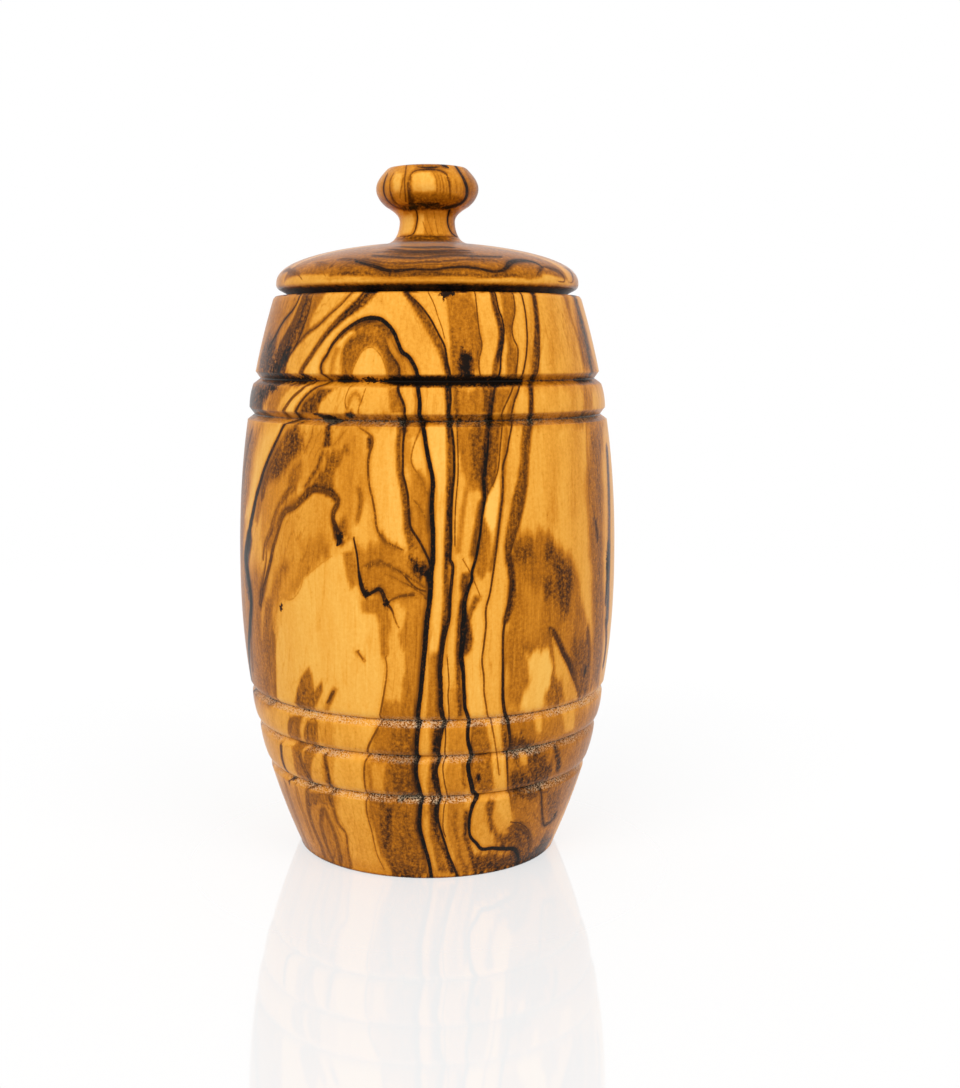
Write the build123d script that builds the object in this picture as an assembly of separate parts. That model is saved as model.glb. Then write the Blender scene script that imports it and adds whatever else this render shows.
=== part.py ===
from build123d import *
from math import cos, radians, sin
import os

# A turned wooden honey pot: a barrel body, a loose lid that drops into its mouth,
# and a knob turned from a second block and glued into the lid. Millimetres, +Z up,
# origin at the centre of the face that the pot stands on.

# ---- Pot body: a barrel with one curve above its widest line and one below ----
BODY_HEIGHT = 122.0  # resting face to rim
RIM_RADIUS = 33.4
BELLY_RADIUS = 41.6
BELLY_HEIGHT = 63.7  # height of the widest line
FOOT_RADIUS = 28.6
SHOULDER_FULLNESS = 2.22  # power of the curve from belly to rim
FOOT_FULLNESS = 2.15  # power of the curve from belly to foot
RIM_BREAK = 0.6  # rounding of the rim's outer edge
FOOT_BREAK = 0.8  # rounding of the resting face's edge

# ---- Hollow for the honey ----
MOUTH_RADIUS = 27.0
FLOOR_THICKNESS = 12.0
FLOOR_COVE = 8.0  # round left where the bore meets the floor
MOUTH_BREAK = 0.6  # rounding of the rim's inner edge

# ---- Two grooves round the shoulder: valley below the rim, then the shape of the cut ----
FIRST_SHOULDER_VALLEY = 17.6
SECOND_SHOULDER_VALLEY = 25.3
SHOULDER_CUT_DEPTH = 1.35
SHOULDER_FLANK_ABOVE = 1.5  # height of the cut's upper flank
SHOULDER_FLANK_BELOW = 1.15  # height of the cut's lower flank

# ---- Three grooves round the foot: valley above the resting face, then the cut ----
FIRST_FOOT_VALLEY = 19.9
SECOND_FOOT_VALLEY = 29.05
THIRD_FOOT_VALLEY = 36.8
FOOT_CUT_DEPTH = 1.1
FOOT_FLANK_ABOVE = 0.6
FOOT_FLANK_BELOW = 1.6
HOOP_CROWN = 0.2  # how far the band between two neighbouring grooves swells

# ---- Lid: heights run up from its seat on the rim ----
LID_RADIUS = 32.9
SEAT_INSET = 3.2  # seat's outer edge, in from the lid's widest line
RELIEF_ANGLE = 27.0  # rise of the underside from the seat outwards
LID_EDGE_ROUND = 1.4  # round from the relieved underside to the widest line
DOME_RISE = 9.2  # widest line to the dome's top, were it not for the neck
DOME_BREADTH = 1.62  # power that sets how early the dome starts to fall
DOME_SHOULDER = 2.4  # power that sets how full its shoulder is
SPIGOT_CLEARANCE = 0.5  # gap all round between the spigot and the mouth
SPIGOT_DEPTH = 6.0
SPIGOT_CHAMFER = 0.8
FLARE_RADIUS = 12.5  # where the dome starts to sweep up into the neck
FLARE_RISE = 1.75  # that place to the joint with the knob
FLARE_ANGLE = 58.0  # slope of the sweep where it reaches the joint

# ---- Knob: heights run up from its joint with the lid ----
NECK_FOOT_RADIUS = 6.95  # both pieces at the joint
NECK_RADIUS = 6.0
NECK_HEIGHT = 3.5  # slimmest place
HEAD_UNDER_RADIUS = 8.5  # where the neck's hollow turns into the head's round
HEAD_UNDER_HEIGHT = 6.4
HEAD_UNDER_ANGLE = 30.0
HEAD_RADIUS = 11.1
HEAD_HEIGHT = 10.4  # head's widest line
CROWN_RADIUS = 8.4
CROWN_HEIGHT = 14.8
CROWN_ANGLE = 135.0  # slope of the head's side at the crown, from straight out
CROWN_SWELL = 0.5
CROWN_BREAK = 0.7

# ---- Glued joint of the knob ----
TENON_RADIUS = 4.0
TENON_LENGTH = 9.0
TENON_CHAMFER = 0.6
GLUE_GAP = 0.1  # all round the tenon
MORTISE_SPARE = 1.0  # air left under the tenon

# ---- Curves ----
POINT_PITCH = 7.0  # spacing of the points that a formula curve passes through
LEAST_POINTS = 4
DOME_POINTS = 10


def barrel_radius(height):
    """Belly radius less a power of the distance from the widest line."""
    if height >= BELLY_HEIGHT:
        away = (height - BELLY_HEIGHT) / (BODY_HEIGHT - BELLY_HEIGHT)
        return BELLY_RADIUS - (BELLY_RADIUS - RIM_RADIUS) * away**SHOULDER_FULLNESS
    away = (BELLY_HEIGHT - height) / BELLY_HEIGHT
    return BELLY_RADIUS - (BELLY_RADIUS - FOOT_RADIUS) * away**FOOT_FULLNESS


def wall_stretch(bottom, top, crown):
    """The outside of the barrel between two heights, swollen by crown at its middle."""
    count = max(LEAST_POINTS, round((top - bottom) / POINT_PITCH) + 1)
    shares = [i / (count - 1) for i in range(count)]
    heights = [bottom + (top - bottom) * share for share in shares]
    swell = [4 * crown * share * (1 - share) for share in shares]
    return Spline(*[(barrel_radius(z) + s, z) for z, s in zip(heights, swell)])


def grooves():
    """Each groove from the foot up: valley height, depth, upper and lower flank."""
    foot = [FIRST_FOOT_VALLEY, SECOND_FOOT_VALLEY, THIRD_FOOT_VALLEY]
    shoulder = [BODY_HEIGHT - SECOND_SHOULDER_VALLEY, BODY_HEIGHT - FIRST_SHOULDER_VALLEY]
    cuts = [(z, FOOT_CUT_DEPTH, FOOT_FLANK_ABOVE, FOOT_FLANK_BELOW) for z in foot]
    cuts += [(z, SHOULDER_CUT_DEPTH, SHOULDER_FLANK_ABOVE, SHOULDER_FLANK_BELOW) for z in shoulder]
    return cuts


def barrel_outline():
    """Foot to rim: stretches of the barrel's curve with a V between each two."""
    cuts = grooves()
    lines = []
    height = 0.0
    for number, (valley, depth, above, below) in enumerate(cuts):
        lower = valley - below
        upper = valley + above
        is_hoop = number > 0 and cuts[number - 1][1:] == (depth, above, below)
        lines.append(wall_stretch(height, lower, HOOP_CROWN if is_hoop else 0.0))
        floor_of_cut = (barrel_radius(valley) - depth, valley)
        lines.append(Line((barrel_radius(lower), lower), floor_of_cut))
        lines.append(Line(floor_of_cut, (barrel_radius(upper), upper)))
        height = upper
    lines.append(wall_stretch(height, BODY_HEIGHT, 0.0))
    return lines


def turned(lines):
    """Spin a closed outline of (radius, height) about the upright axis."""
    return revolve(Plane.XZ * make_face(lines), Axis.Z)


def ring_edge(solid, radius, height):
    """The circular edge nearest to a radius and a height."""

    def distance(edge):
        return abs(edge.radius - radius) + abs(edge.arc_center.Z - height)

    return solid.edges().filter_by(GeomType.CIRCLE).sort_by(distance)[0]


def make_pot_body():
    """Barrel with V-cut grooves, bored from the rim down to a thick floor."""
    outline = barrel_outline()
    outline += [Line((RIM_RADIUS, BODY_HEIGHT), (0, BODY_HEIGHT))]
    outline += [Line((0, BODY_HEIGHT), (0, 0)), Line((0, 0), (FOOT_RADIUS, 0))]
    body = turned(outline)
    body = fillet(ring_edge(body, FOOT_RADIUS, 0), FOOT_BREAK)
    body = fillet(ring_edge(body, RIM_RADIUS, BODY_HEIGHT), RIM_BREAK)
    depth = BODY_HEIGHT - FLOOR_THICKNESS
    bore = Cylinder(MOUTH_RADIUS, depth, align=(Align.CENTER, Align.CENTER, Align.MIN))
    bore = fillet(ring_edge(bore, MOUTH_RADIUS, 0), FLOOR_COVE)
    body -= Pos(0, 0, FLOOR_THICKNESS) * bore
    return fillet(ring_edge(body, MOUTH_RADIUS, BODY_HEIGHT), MOUTH_BREAK)


def edge_round_centre():
    """Centre of the round that touches the relieved underside and ends upright."""
    angle = radians(RELIEF_ANGLE)
    radius = LID_RADIUS - LID_EDGE_ROUND
    run = radius - (LID_RADIUS - SEAT_INSET)
    return radius, (LID_EDGE_ROUND + run * sin(angle)) / cos(angle)


def dome_height(radius):
    """Widest line plus a superellipse of the lid's radius."""
    fall = 1 - (radius / LID_RADIUS) ** DOME_BREADTH
    return edge_round_centre()[1] + DOME_RISE * max(fall, 0) ** (1 / DOME_SHOULDER)


def joint_height():
    """Seat to the flat land that the knob stands on."""
    return dome_height(FLARE_RADIUS) + FLARE_RISE


def lid_top():
    """Widest line over the dome and up the flare to the joint."""
    turns = [i * 90 / (DOME_POINTS - 1) for i in range(DOME_POINTS)]
    radii = [FLARE_RADIUS + (LID_RADIUS - FLARE_RADIUS) * cos(radians(turn)) for turn in turns]
    dome = Spline(*[(radius, dome_height(radius)) for radius in radii])
    sweep = (-cos(radians(FLARE_ANGLE)), sin(radians(FLARE_ANGLE)))
    flare = Spline(dome @ 1, (NECK_FOOT_RADIUS, joint_height()), tangents=[dome % 1, sweep])
    return [dome, flare]


def make_lid():
    """Domed disc with a seat, a relieved underside, a spigot and a blind mortise."""
    angle = radians(RELIEF_ANGLE)
    spigot = MOUTH_RADIUS - SPIGOT_CLEARANCE
    seat = LID_RADIUS - SEAT_INSET
    centre, level = edge_round_centre()
    leave = (centre + LID_EDGE_ROUND * sin(angle), level - LID_EDGE_ROUND * cos(angle))
    middle = radians(45 - RELIEF_ANGLE / 2)
    mid = (centre + LID_EDGE_ROUND * cos(middle), level - LID_EDGE_ROUND * sin(middle))
    outline = [Polyline((0, -SPIGOT_DEPTH), (spigot, -SPIGOT_DEPTH), (spigot, 0), (seat, 0), leave)]
    outline += [ThreePointArc(leave, mid, (LID_RADIUS, level))]
    outline += lid_top()
    top = joint_height()
    outline += [Line((NECK_FOOT_RADIUS, top), (0, top)), Line((0, top), (0, -SPIGOT_DEPTH))]
    lid = turned(outline)
    lid = chamfer(ring_edge(lid, spigot, -SPIGOT_DEPTH), SPIGOT_CHAMFER)
    depth = TENON_LENGTH + MORTISE_SPARE
    drill = Cylinder(TENON_RADIUS + GLUE_GAP, depth, align=(Align.CENTER, Align.CENTER, Align.MAX))
    lid -= Pos(0, 0, top) * drill
    return Pos(0, 0, BODY_HEIGHT) * lid


def make_lid_knob():
    """Flat-topped head on a waisted neck, with the tenon that is glued into the lid."""
    flare = radians(FLARE_ANGLE)
    under = radians(HEAD_UNDER_ANGLE)
    crown = radians(CROWN_ANGLE)
    neck = Spline(
        (NECK_FOOT_RADIUS, 0),
        (NECK_RADIUS, NECK_HEIGHT),
        (HEAD_UNDER_RADIUS, HEAD_UNDER_HEIGHT),
        tangents=[(-cos(flare), sin(flare)), (0, 1), (cos(under), sin(under))],
    )
    head = Spline(
        (HEAD_UNDER_RADIUS, HEAD_UNDER_HEIGHT),
        (HEAD_RADIUS, HEAD_HEIGHT),
        (CROWN_RADIUS, CROWN_HEIGHT),
        tangents=[(cos(under), sin(under)), (0, 1), (cos(crown), sin(crown))],
    )
    top = CROWN_HEIGHT + CROWN_SWELL
    dish = TangentArc((0, top), (CROWN_RADIUS, CROWN_HEIGHT), tangent=(1, 0))
    outline = [neck, head, dish, Line((0, top), (0, -TENON_LENGTH))]
    outline += [Polyline((0, -TENON_LENGTH), (TENON_RADIUS, -TENON_LENGTH), (TENON_RADIUS, 0), (NECK_FOOT_RADIUS, 0))]
    knob = turned(outline)
    knob = fillet(ring_edge(knob, CROWN_RADIUS, CROWN_HEIGHT), CROWN_BREAK)
    knob = chamfer(ring_edge(knob, TENON_RADIUS, -TENON_LENGTH), TENON_CHAMFER)
    return Pos(0, 0, BODY_HEIGHT + joint_height()) * knob


PIECES = {"pot_body": make_pot_body, "lid": make_lid, "lid_knob": make_lid_knob}

os.makedirs("parts", exist_ok=True)
for name, make in PIECES.items():
    export_step(make(), os.path.join("parts", name + ".step"))
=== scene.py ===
# %% [markdown]
# A honey pot turned from one block of olive wood, with a loose lid and a glued-in knob.
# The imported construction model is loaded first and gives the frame: metres, +Z up, the
# pot standing on z = 0 with its front towards -Y. Every piece made below stays inside it.
# %% Load the frame
import mathutils
import bpy
import numpy as np
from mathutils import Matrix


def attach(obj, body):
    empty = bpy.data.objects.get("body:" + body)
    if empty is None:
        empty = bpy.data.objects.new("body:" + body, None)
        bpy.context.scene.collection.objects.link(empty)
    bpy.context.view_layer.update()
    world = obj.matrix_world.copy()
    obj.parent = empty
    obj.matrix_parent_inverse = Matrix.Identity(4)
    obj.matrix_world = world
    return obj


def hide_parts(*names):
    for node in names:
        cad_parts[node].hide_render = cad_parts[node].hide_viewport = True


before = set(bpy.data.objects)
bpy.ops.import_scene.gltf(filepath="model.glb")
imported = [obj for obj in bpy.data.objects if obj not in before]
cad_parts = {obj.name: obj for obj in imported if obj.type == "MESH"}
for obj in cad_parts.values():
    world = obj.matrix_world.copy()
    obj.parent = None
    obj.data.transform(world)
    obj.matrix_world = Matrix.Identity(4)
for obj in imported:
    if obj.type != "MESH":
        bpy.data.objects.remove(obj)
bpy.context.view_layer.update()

MM = 0.001  # all shapes below are worked out in millimetres

# %% [markdown]
# The camera comes first, because the figure of the wood is laid out in its picture.
# It stands a third of a metre in front of the pot, a little above half height, tipped
# down by under eight degrees. A small sideways shift keeps the pot's axis upright and
# leaves room on the right; turning the camera instead would make the axis lean.
# %% Camera
PICTURE_WIDE, PICTURE_HIGH = 960.0, 1088.0
EYE = np.array([0.0, -327.8, 111.5])  # mm
TIP_DOWN = np.radians(7.668)
DOTS_PER_SLOPE = 1476.9  # picture dots per unit of slope away from the middle
AXIS_DOT = 427.3  # where the pot's axis stands, in dots from the left
SENSOR = 36.0


def make_camera():
    """A perspective camera whose long side is the picture's height."""
    data = bpy.data.cameras.new("front_camera")
    data.sensor_width = SENSOR
    data.lens = SENSOR * DOTS_PER_SLOPE / PICTURE_HIGH
    data.shift_x = (PICTURE_WIDE / 2 - AXIS_DOT) / PICTURE_HIGH
    data.clip_start = 0.01
    camera = bpy.data.objects.new("front_camera", data)
    camera.location = EYE * MM
    camera.rotation_euler = (np.pi / 2 - TIP_DOWN, 0.0, 0.0)
    bpy.context.scene.collection.objects.link(camera)
    bpy.context.scene.camera = camera
    return camera


camera = make_camera()
print("lens (mm):", round(camera.data.lens, 2), "shift:", round(camera.data.shift_x, 4))

# %% [markdown]
# The barrel is one block of wood, so its outside, rim, hollow and foot are one profile
# that is spun round the axis. The outline is a power curve above the widest line and
# another below it, cut by two V grooves at the shoulder and three at the foot. The
# profile could be a Screw modifier on a curve, but as arrays each row of points can be
# put where it is needed: close together in the grooves, further apart on the plain wall.
# %% The barrel's profile
BODY_HEIGHT = 122.0
RIM_RADIUS, BELLY_RADIUS, FOOT_RADIUS = 33.4, 41.6, 28.6
BELLY_HEIGHT = 63.7
SHOULDER_FULLNESS, FOOT_FULLNESS = 2.22, 2.15
MOUTH_RADIUS, FLOOR_THICKNESS, FLOOR_COVE = 27.0, 12.0, 8.0
RIM_BREAK, MOUTH_BREAK, FOOT_BREAK = 0.6, 0.6, 0.8
# each cut: height of its valley, depth, height of its upper and of its lower flank
SHOULDER_CUTS = [(96.7, 1.35, 1.5, 1.15), (104.4, 1.35, 1.5, 1.15)]
FOOT_CUTS = [(19.9, 1.1, 0.6, 1.6), (29.05, 1.1, 0.6, 1.6), (36.8, 1.1, 0.6, 1.6)]
HOOP_CROWN = 0.2
WALL_ROWS = 160
FLANK_ROWS = np.array([-1.1, -1.0, -0.85, -0.5, -0.16])  # rows packed in a cut, as shares of a flank
LEAST_ROW = 0.1  # mm between two rows


def barrel_radius(z):
    """Belly radius less a power of the distance from the widest line."""
    up = np.clip((z - BELLY_HEIGHT) / (BODY_HEIGHT - BELLY_HEIGHT), 0, 1)
    down = np.clip((BELLY_HEIGHT - z) / BELLY_HEIGHT, 0, 1)
    fall = (BELLY_RADIUS - RIM_RADIUS) * up**SHOULDER_FULLNESS
    return BELLY_RADIUS - fall - (BELLY_RADIUS - FOOT_RADIUS) * down**FOOT_FULLNESS


def turned_radius(z):
    """The barrel's radius with its V cuts, and the swell of the hoops between them."""
    radius = barrel_radius(z)
    for cuts in (FOOT_CUTS, SHOULDER_CUTS):
        for low, high in zip(cuts, cuts[1:]):
            share = np.clip((z - low[0] - low[2]) / (high[0] - high[3] - low[0] - low[2]), 0, 1)
            radius = radius + 4 * HOOP_CROWN * share * (1 - share)
        for valley, depth, above, below in cuts:
            floor = barrel_radius(valley) - depth
            upper = floor + (barrel_radius(valley + above) - floor) * (z - valley) / above
            lower = floor + (barrel_radius(valley - below) - floor) * (valley - z) / below
            inside = (z > valley - below) & (z < valley + above)
            radius = np.where(inside, np.maximum(upper, lower), radius)
    return radius


def arc(centre, radius, start, stop, count):
    """Points on a circle's arc, by turning an angle in degrees from start to stop."""
    turn = np.radians(np.linspace(start, stop, count))
    return np.stack([centre[0] + radius * np.cos(turn), centre[1] + radius * np.sin(turn)], 1)


def wall_heights():
    """Heights of the rows up the outside: even on the plain wall, packed in the cuts."""
    marks = [np.linspace(FOOT_BREAK * 1.02, BODY_HEIGHT - RIM_BREAK * 1.02, WALL_ROWS)]
    for valley, _, above, below in FOOT_CUTS + SHOULDER_CUTS:
        marks += [valley + below * FLANK_ROWS, valley - above * FLANK_ROWS, [valley]]
    heights = np.unique(np.concatenate(marks))
    return heights[np.diff(heights, prepend=-1) > LEAST_ROW]


def pot_profile():
    """Foot, outside, rim, hollow and its floor, as (radius, height) from axis to axis."""
    heights = wall_heights()
    wall = np.stack([turned_radius(heights), heights], 1)
    foot_radii = np.linspace(0, FOOT_RADIUS - FOOT_BREAK, 7)
    foot = np.stack([foot_radii, 0 * foot_radii], 1)
    foot_round = arc((barrel_radius(FOOT_BREAK) - FOOT_BREAK * 0.98, FOOT_BREAK), FOOT_BREAK, -80, -14, 4)
    rim_round = arc((RIM_RADIUS - RIM_BREAK, BODY_HEIGHT - RIM_BREAK), RIM_BREAK, 22, 90, 4)
    rim = np.stack([np.linspace(RIM_RADIUS - 1.4, MOUTH_RADIUS + 1.4, 4), np.full(4, BODY_HEIGHT)], 1)
    mouth = arc((MOUTH_RADIUS + MOUTH_BREAK, BODY_HEIGHT - MOUTH_BREAK), MOUTH_BREAK, 90, 180, 4)
    bore_heights = np.linspace(BODY_HEIGHT - 1.6, FLOOR_THICKNESS + FLOOR_COVE + 1, 12)
    bore = np.stack([np.full(12, MOUTH_RADIUS), bore_heights], 1)
    cove = arc((MOUTH_RADIUS - FLOOR_COVE, FLOOR_THICKNESS + FLOOR_COVE), FLOOR_COVE, 0, -90, 7)
    floor = np.stack([np.linspace(MOUTH_RADIUS - FLOOR_COVE - 2.5, 0, 5), np.full(5, FLOOR_THICKNESS)], 1)
    return np.concatenate([foot, foot_round, wall, rim_round, rim, mouth, bore, cove, floor])


profile = pot_profile()
print("pot profile points:", len(profile), "widest (mm):", round(profile[:, 0].max(), 2))

# %% [markdown]
# Spinning a profile is a grid of height rows and angle columns. The angle is counted
# from the front, and the columns stand closer together there, where the pot is looked
# at most. Both ends of the profile lie on the axis, so each is one point with a fan of
# triangles, and the solid is closed.
# %% Spin a profile into a closed mesh
COLUMNS = 408
FRONT_PACKING = 0.32


def column_angles(count):
    """Turns from -pi to pi, drawn towards zero by a share of their own sine."""
    turn = np.linspace(-np.pi, np.pi, count, endpoint=False)
    return turn - FRONT_PACKING * np.sin(turn)


def ring_quads(rows, count):
    """Corners of the quads between neighbouring rings of points."""
    row, column = np.meshgrid(np.arange(rows - 1), np.arange(count), indexing="ij")
    here, beside = row * count + column, row * count + (column + 1) % count
    return np.stack([here, beside, beside + count, here + count], 2).reshape(-1, 4)


def spin(name, outline, count):
    """x = r sin(angle), y = -r cos(angle), z = height; the two end points are poles."""
    angles = column_angles(count)
    radius, height = outline[1:-1, 0][:, None], outline[1:-1, 1][:, None]
    rows = len(outline) - 2
    ring = np.stack([radius * np.sin(angles), -radius * np.cos(angles), height + 0 * angles], 2)
    points = np.concatenate([ring.reshape(-1, 3), [[0, 0, outline[0, 1]], [0, 0, outline[-1, 1]]]])
    quads = ring_quads(rows, count)
    column = np.arange(count)
    beside = (column + 1) % count
    first = np.stack([beside, column, np.full(count, rows * count)], 1)
    top = (rows - 1) * count
    last = np.stack([top + column, top + beside, np.full(count, rows * count + 1)], 1)
    mesh = bpy.data.meshes.new(name)
    corners = np.concatenate([quads.ravel(), first.ravel(), last.ravel()])
    sizes = np.concatenate([np.full(len(quads), 4), np.full(2 * count, 3)])
    mesh.vertices.add(len(points))
    mesh.vertices.foreach_set("co", (points * MM).ravel())
    mesh.loops.add(len(corners))
    mesh.loops.foreach_set("vertex_index", corners)
    mesh.polygons.add(len(sizes))
    mesh.polygons.foreach_set("loop_start", np.concatenate([[0], np.cumsum(sizes)[:-1]]))
    mesh.polygons.foreach_set("use_smooth", np.ones(len(sizes), bool))
    mesh.update(calc_edges=True)
    mesh.validate()
    piece = bpy.data.objects.new(name, mesh)
    bpy.context.scene.collection.objects.link(piece)
    sign = np.sign(spun_volume(points, corners, sizes))
    print(name, "triangles:", 2 * len(quads) + 2 * count, "volume sign:", sign)
    return piece, points


def spun_volume(points, corners, sizes):
    """Signed pyramids from the origin to each face's first three corners, doubled for quads."""
    start = np.concatenate([[0], np.cumsum(sizes)[:-1]])
    a, b, c = (points[corners[start + step]] for step in range(3))
    return np.sum(np.einsum("ij,ij->i", a, np.cross(b, c)) * (sizes - 2))


pot, pot_points = spin("pot_barrel", profile, COLUMNS)

# %% [markdown]
# Olive wood is golden, with black and brown veins that follow its growth. A noise
# texture can make such stripes, but not these ones: here each vein is drawn in the
# picture frame of the camera, and every drawn dot is carried along its line of
# sight until it meets the wood. Widths are drawn in dots too, so a vein near the edge
# of the pot comes out as broad on the wood as it has to be.
# %% From the picture to the wood
RAY_STEPS = 900
OVERSHOOT = 4.0  # mm that a ray may pass above or below the piece
FAR_OFF = 99.0  # stands for farther than any distance here


def pairs(numbers):
    """Numbers that stand across, down, across, down, as one row for each dot."""
    return np.reshape(np.array(numbers, float), (-1, 2))


def sight(dots, radius_at, height_range, widest):
    """First place along each dot's ray where the distance from the axis is less than the radius."""
    dots = np.asarray(dots, float)
    right = ((dots[:, 0] - AXIS_DOT) / DOTS_PER_SLOPE)[:, None]
    up = ((PICTURE_HIGH / 2 - dots[:, 1]) / DOTS_PER_SLOPE)[:, None]
    ahead = np.cos(TIP_DOWN) + up * np.sin(TIP_DOWN)
    climb = up * np.cos(TIP_DOWN) - np.sin(TIP_DOWN)
    depth = np.linspace(widest + 1, -0.4 * widest, RAY_STEPS)[None, :]
    reach = (-EYE[1] - depth) / ahead
    x, z = right * reach, EYE[2] + climb * reach
    outside = np.hypot(x, depth) - radius_at(np.clip(z, *height_range))
    missed = (z < height_range[0] - OVERSHOOT) | (z > height_range[1] + OVERSHOOT)
    outside = np.where(missed, FAR_OFF, outside)
    hit = np.where((outside < 0).any(1), (outside < 0).argmax(1), outside.argmin(1))
    row = np.arange(len(dots))
    before = np.maximum(hit - 1, 0)
    gap = outside[row, before] - outside[row, hit]
    crossed = (outside[row, hit] < 0) & (np.abs(gap) > 1e-9)
    share = np.where(crossed, outside[row, before] / (gap + 1e-12), 1.0)
    grids = (x, np.broadcast_to(depth, x.shape), z)
    return tuple(grid[row, before] + (grid[row, hit] - grid[row, before]) * share for grid in grids)


def on_barrel(dots):
    """Dots to the flat sheet that the barrel unrolls into: arc at the belly, and height."""
    x, depth, z = sight(dots, barrel_radius, (-1, BODY_HEIGHT + 1), BELLY_RADIUS)
    return np.stack([np.arctan2(x, depth) * BELLY_RADIUS, z], 1)


print("middle dot lands at (mm):", on_barrel([(AXIS_DOT, PICTURE_HIGH / 2)]).round(1).tolist())

# %% [markdown]
# Each vein is a row: its tone from 0, pale gold, to 1, black; its breadth in dots at
# even shares of its length; the brown stains on its left and right in dots, where it has
# them; and the dots it passes through, each as across,down. An arch is drawn from its
# left foot over the top to its right foot, and then its first stain lies inside. Ends
# are led on unseen, up and down off the wood, so that every line parts the sheet into
# two kinds of side. The long veins come first: the heart vein, and those beside it.
# %% Long veins of the barrel
BARREL_VEINS = [
    ((1, 1, 1, 1, 1, 0.92, 0.8, 1, 1, 1, 1, 1, 1, 1),
        (0, 0, 0.5, 3, 4, 2.6, 1.8, 4.2, 4, 4.5, 5, 4.5, 4.5, 5), (4, 9), 3, [310,870, 292,830, 276,790,
        262,745, 253,700, 249,654, 250,625, 251,596, 246,559, 248,540, 252,518, 257,494, 261,480, 267,462,
        276,442, 283,427, 290,418, 297,410, 302,403, 312,391, 322,382, 321,365, 327,355, 332,345, 343,332,
        354,324, 364,319, 373,318, 382,320, 390,327, 395,335, 398,343, 402,352, 409,357, 414,365, 417,373,
        418,388, 420,399, 420,409, 419,420, 423,427, 426,445, 430,466, 433,482, 432,500, 432,517, 433,535,
        433,560, 431,574, 430,597, 428,612, 426,632, 424,657, 421,689, 418,715, 418,731, 417,748, 416,764,
        417,776, 419,786, 421,797, 420,813, 420,829, 424,845, 429,862, 432,881]),
    (0.95, (1.8, 2.2, 2.6, 2.8, 3.2, 5, 4.6, 2.8, 3.4), (7, 7, 6, 5, 5, 6, 8, 4, 3), 0, [404,288, 409,295,
        419,304, 430,318, 439,335, 445,347, 447,361, 450,374, 450,387, 451,400, 449,414, 449,422, 452,431,
        454,452, 454,474, 452,497, 451,517, 451,539, 450,560, 453,565, 452,580, 450,600, 449,619, 445,634,
        442,651, 440,670, 441,689, 441,708, 443,722, 440,739, 438,751, 438,762, 436,770, 438,783, 440,796,
        438,805, 438,819, 441,831, 445,843, 449,856, 455,870, 460,882]),
    (0.85, (1.2, 1), [457,424, 458,452, 458,477, 456,500, 455,523, 455,548]),
    (0.85, (1, 1.4, 1), [447,655, 449,683, 448,695, 449,718, 445,724, 446,735, 445,752, 443,767, 445,783,
        447,795, 444,808, 443,828, 446,838]),
    (1.0, (1.5, 1.7, 2, 2.2, 2.4, 2.8, 6, 3.4, 4, 5.6, 3.2, 4, 3.6), (9, 4, 3, 3, 2), (2, 5, 3, 2),
        [495,288, 498,307, 502,318, 504,330, 503,342, 501,356, 500,372, 495,387, 493,400, 491,414, 489,427,
        488,446, 486,466, 484,482, 485,497, 482,517, 480,535, 476,558, 472,572, 472,580, 468,589, 465,601,
        464,616, 463,638, 461,657, 463,670, 464,689, 465,708, 468,718, 468,739, 471,754, 468,766, 471,782,
        473,792, 477,797, 473,804, 471,811, 469,824, 470,836, 476,843, 482,849, 493,848, 504,849, 514,849,
        518,856, 517,864]),
    (0.8, (1.6, 1.4), 26, 0, [475,288, 479,330, 482,345, 479,361, 480,374, 485,395, 484,412]),
    (0.8, (1.6, 1.8, 1.4), (13, 13, 9), 0, [513,290, 515,310, 512,327, 514,340, 518,349, 516,373, 512,390,
        502,413, 502,427, 500,450, 498,470, 492,487]),
    ((0.86, 0.86, 0.86, 0.8, 0.66), (1.8, 1.8, 2, 1.8, 1.4), (3, 2), 1, [521,290, 525,310, 527,330, 527,346,
        525,364, 518,391, 514,402, 511,419, 512,424, 509,440, 507,452, 503,466, 503,484, 502,501, 500,517,
        498,535, 495,560, 493,574, 490,593, 486,609, 486,626, 484,644, 482,661, 484,677, 484,691, 486,705,
        488,718, 491,722, 496,749, 499,775]),
    ((0.86, 0.84, 0.8, 0.78, 0.8, 0.86, 0.86, 0.96, 0.84, 0.6),
        (1.8, 2, 2, 1.6, 1.8, 2.4, 2.4, 3.8, 2.4, 1.4), (11, 8, 10, 8, 8, 6), 1, [533,290, 535,308, 538,323,
        539,339, 539,356, 537,373, 531,386, 531,400, 530,419, 531,424, 526,446, 526,466, 526,477, 522,505,
        518,523, 513,542, 509,560, 511,565, 511,587, 508,606, 505,621, 503,638, 503,663, 503,683, 503,699,
        505,714, 508,722, 510,745, 507,755, 508,788, 510,794, 512,812]),
    (0.5, (1.2, 1), 0, 22, [567,290, 570,314, 578,339, 582,356, 584,373, 585,395, 586,420, 587,446, 588,480,
        588,510, 591,535, 590,560]),
    (1.0, (0.8, 2.5, 0.8), [608,540, 608,560, 607,580, 605,606]),
]
print("long veins:", len(BARREL_VEINS))

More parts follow.
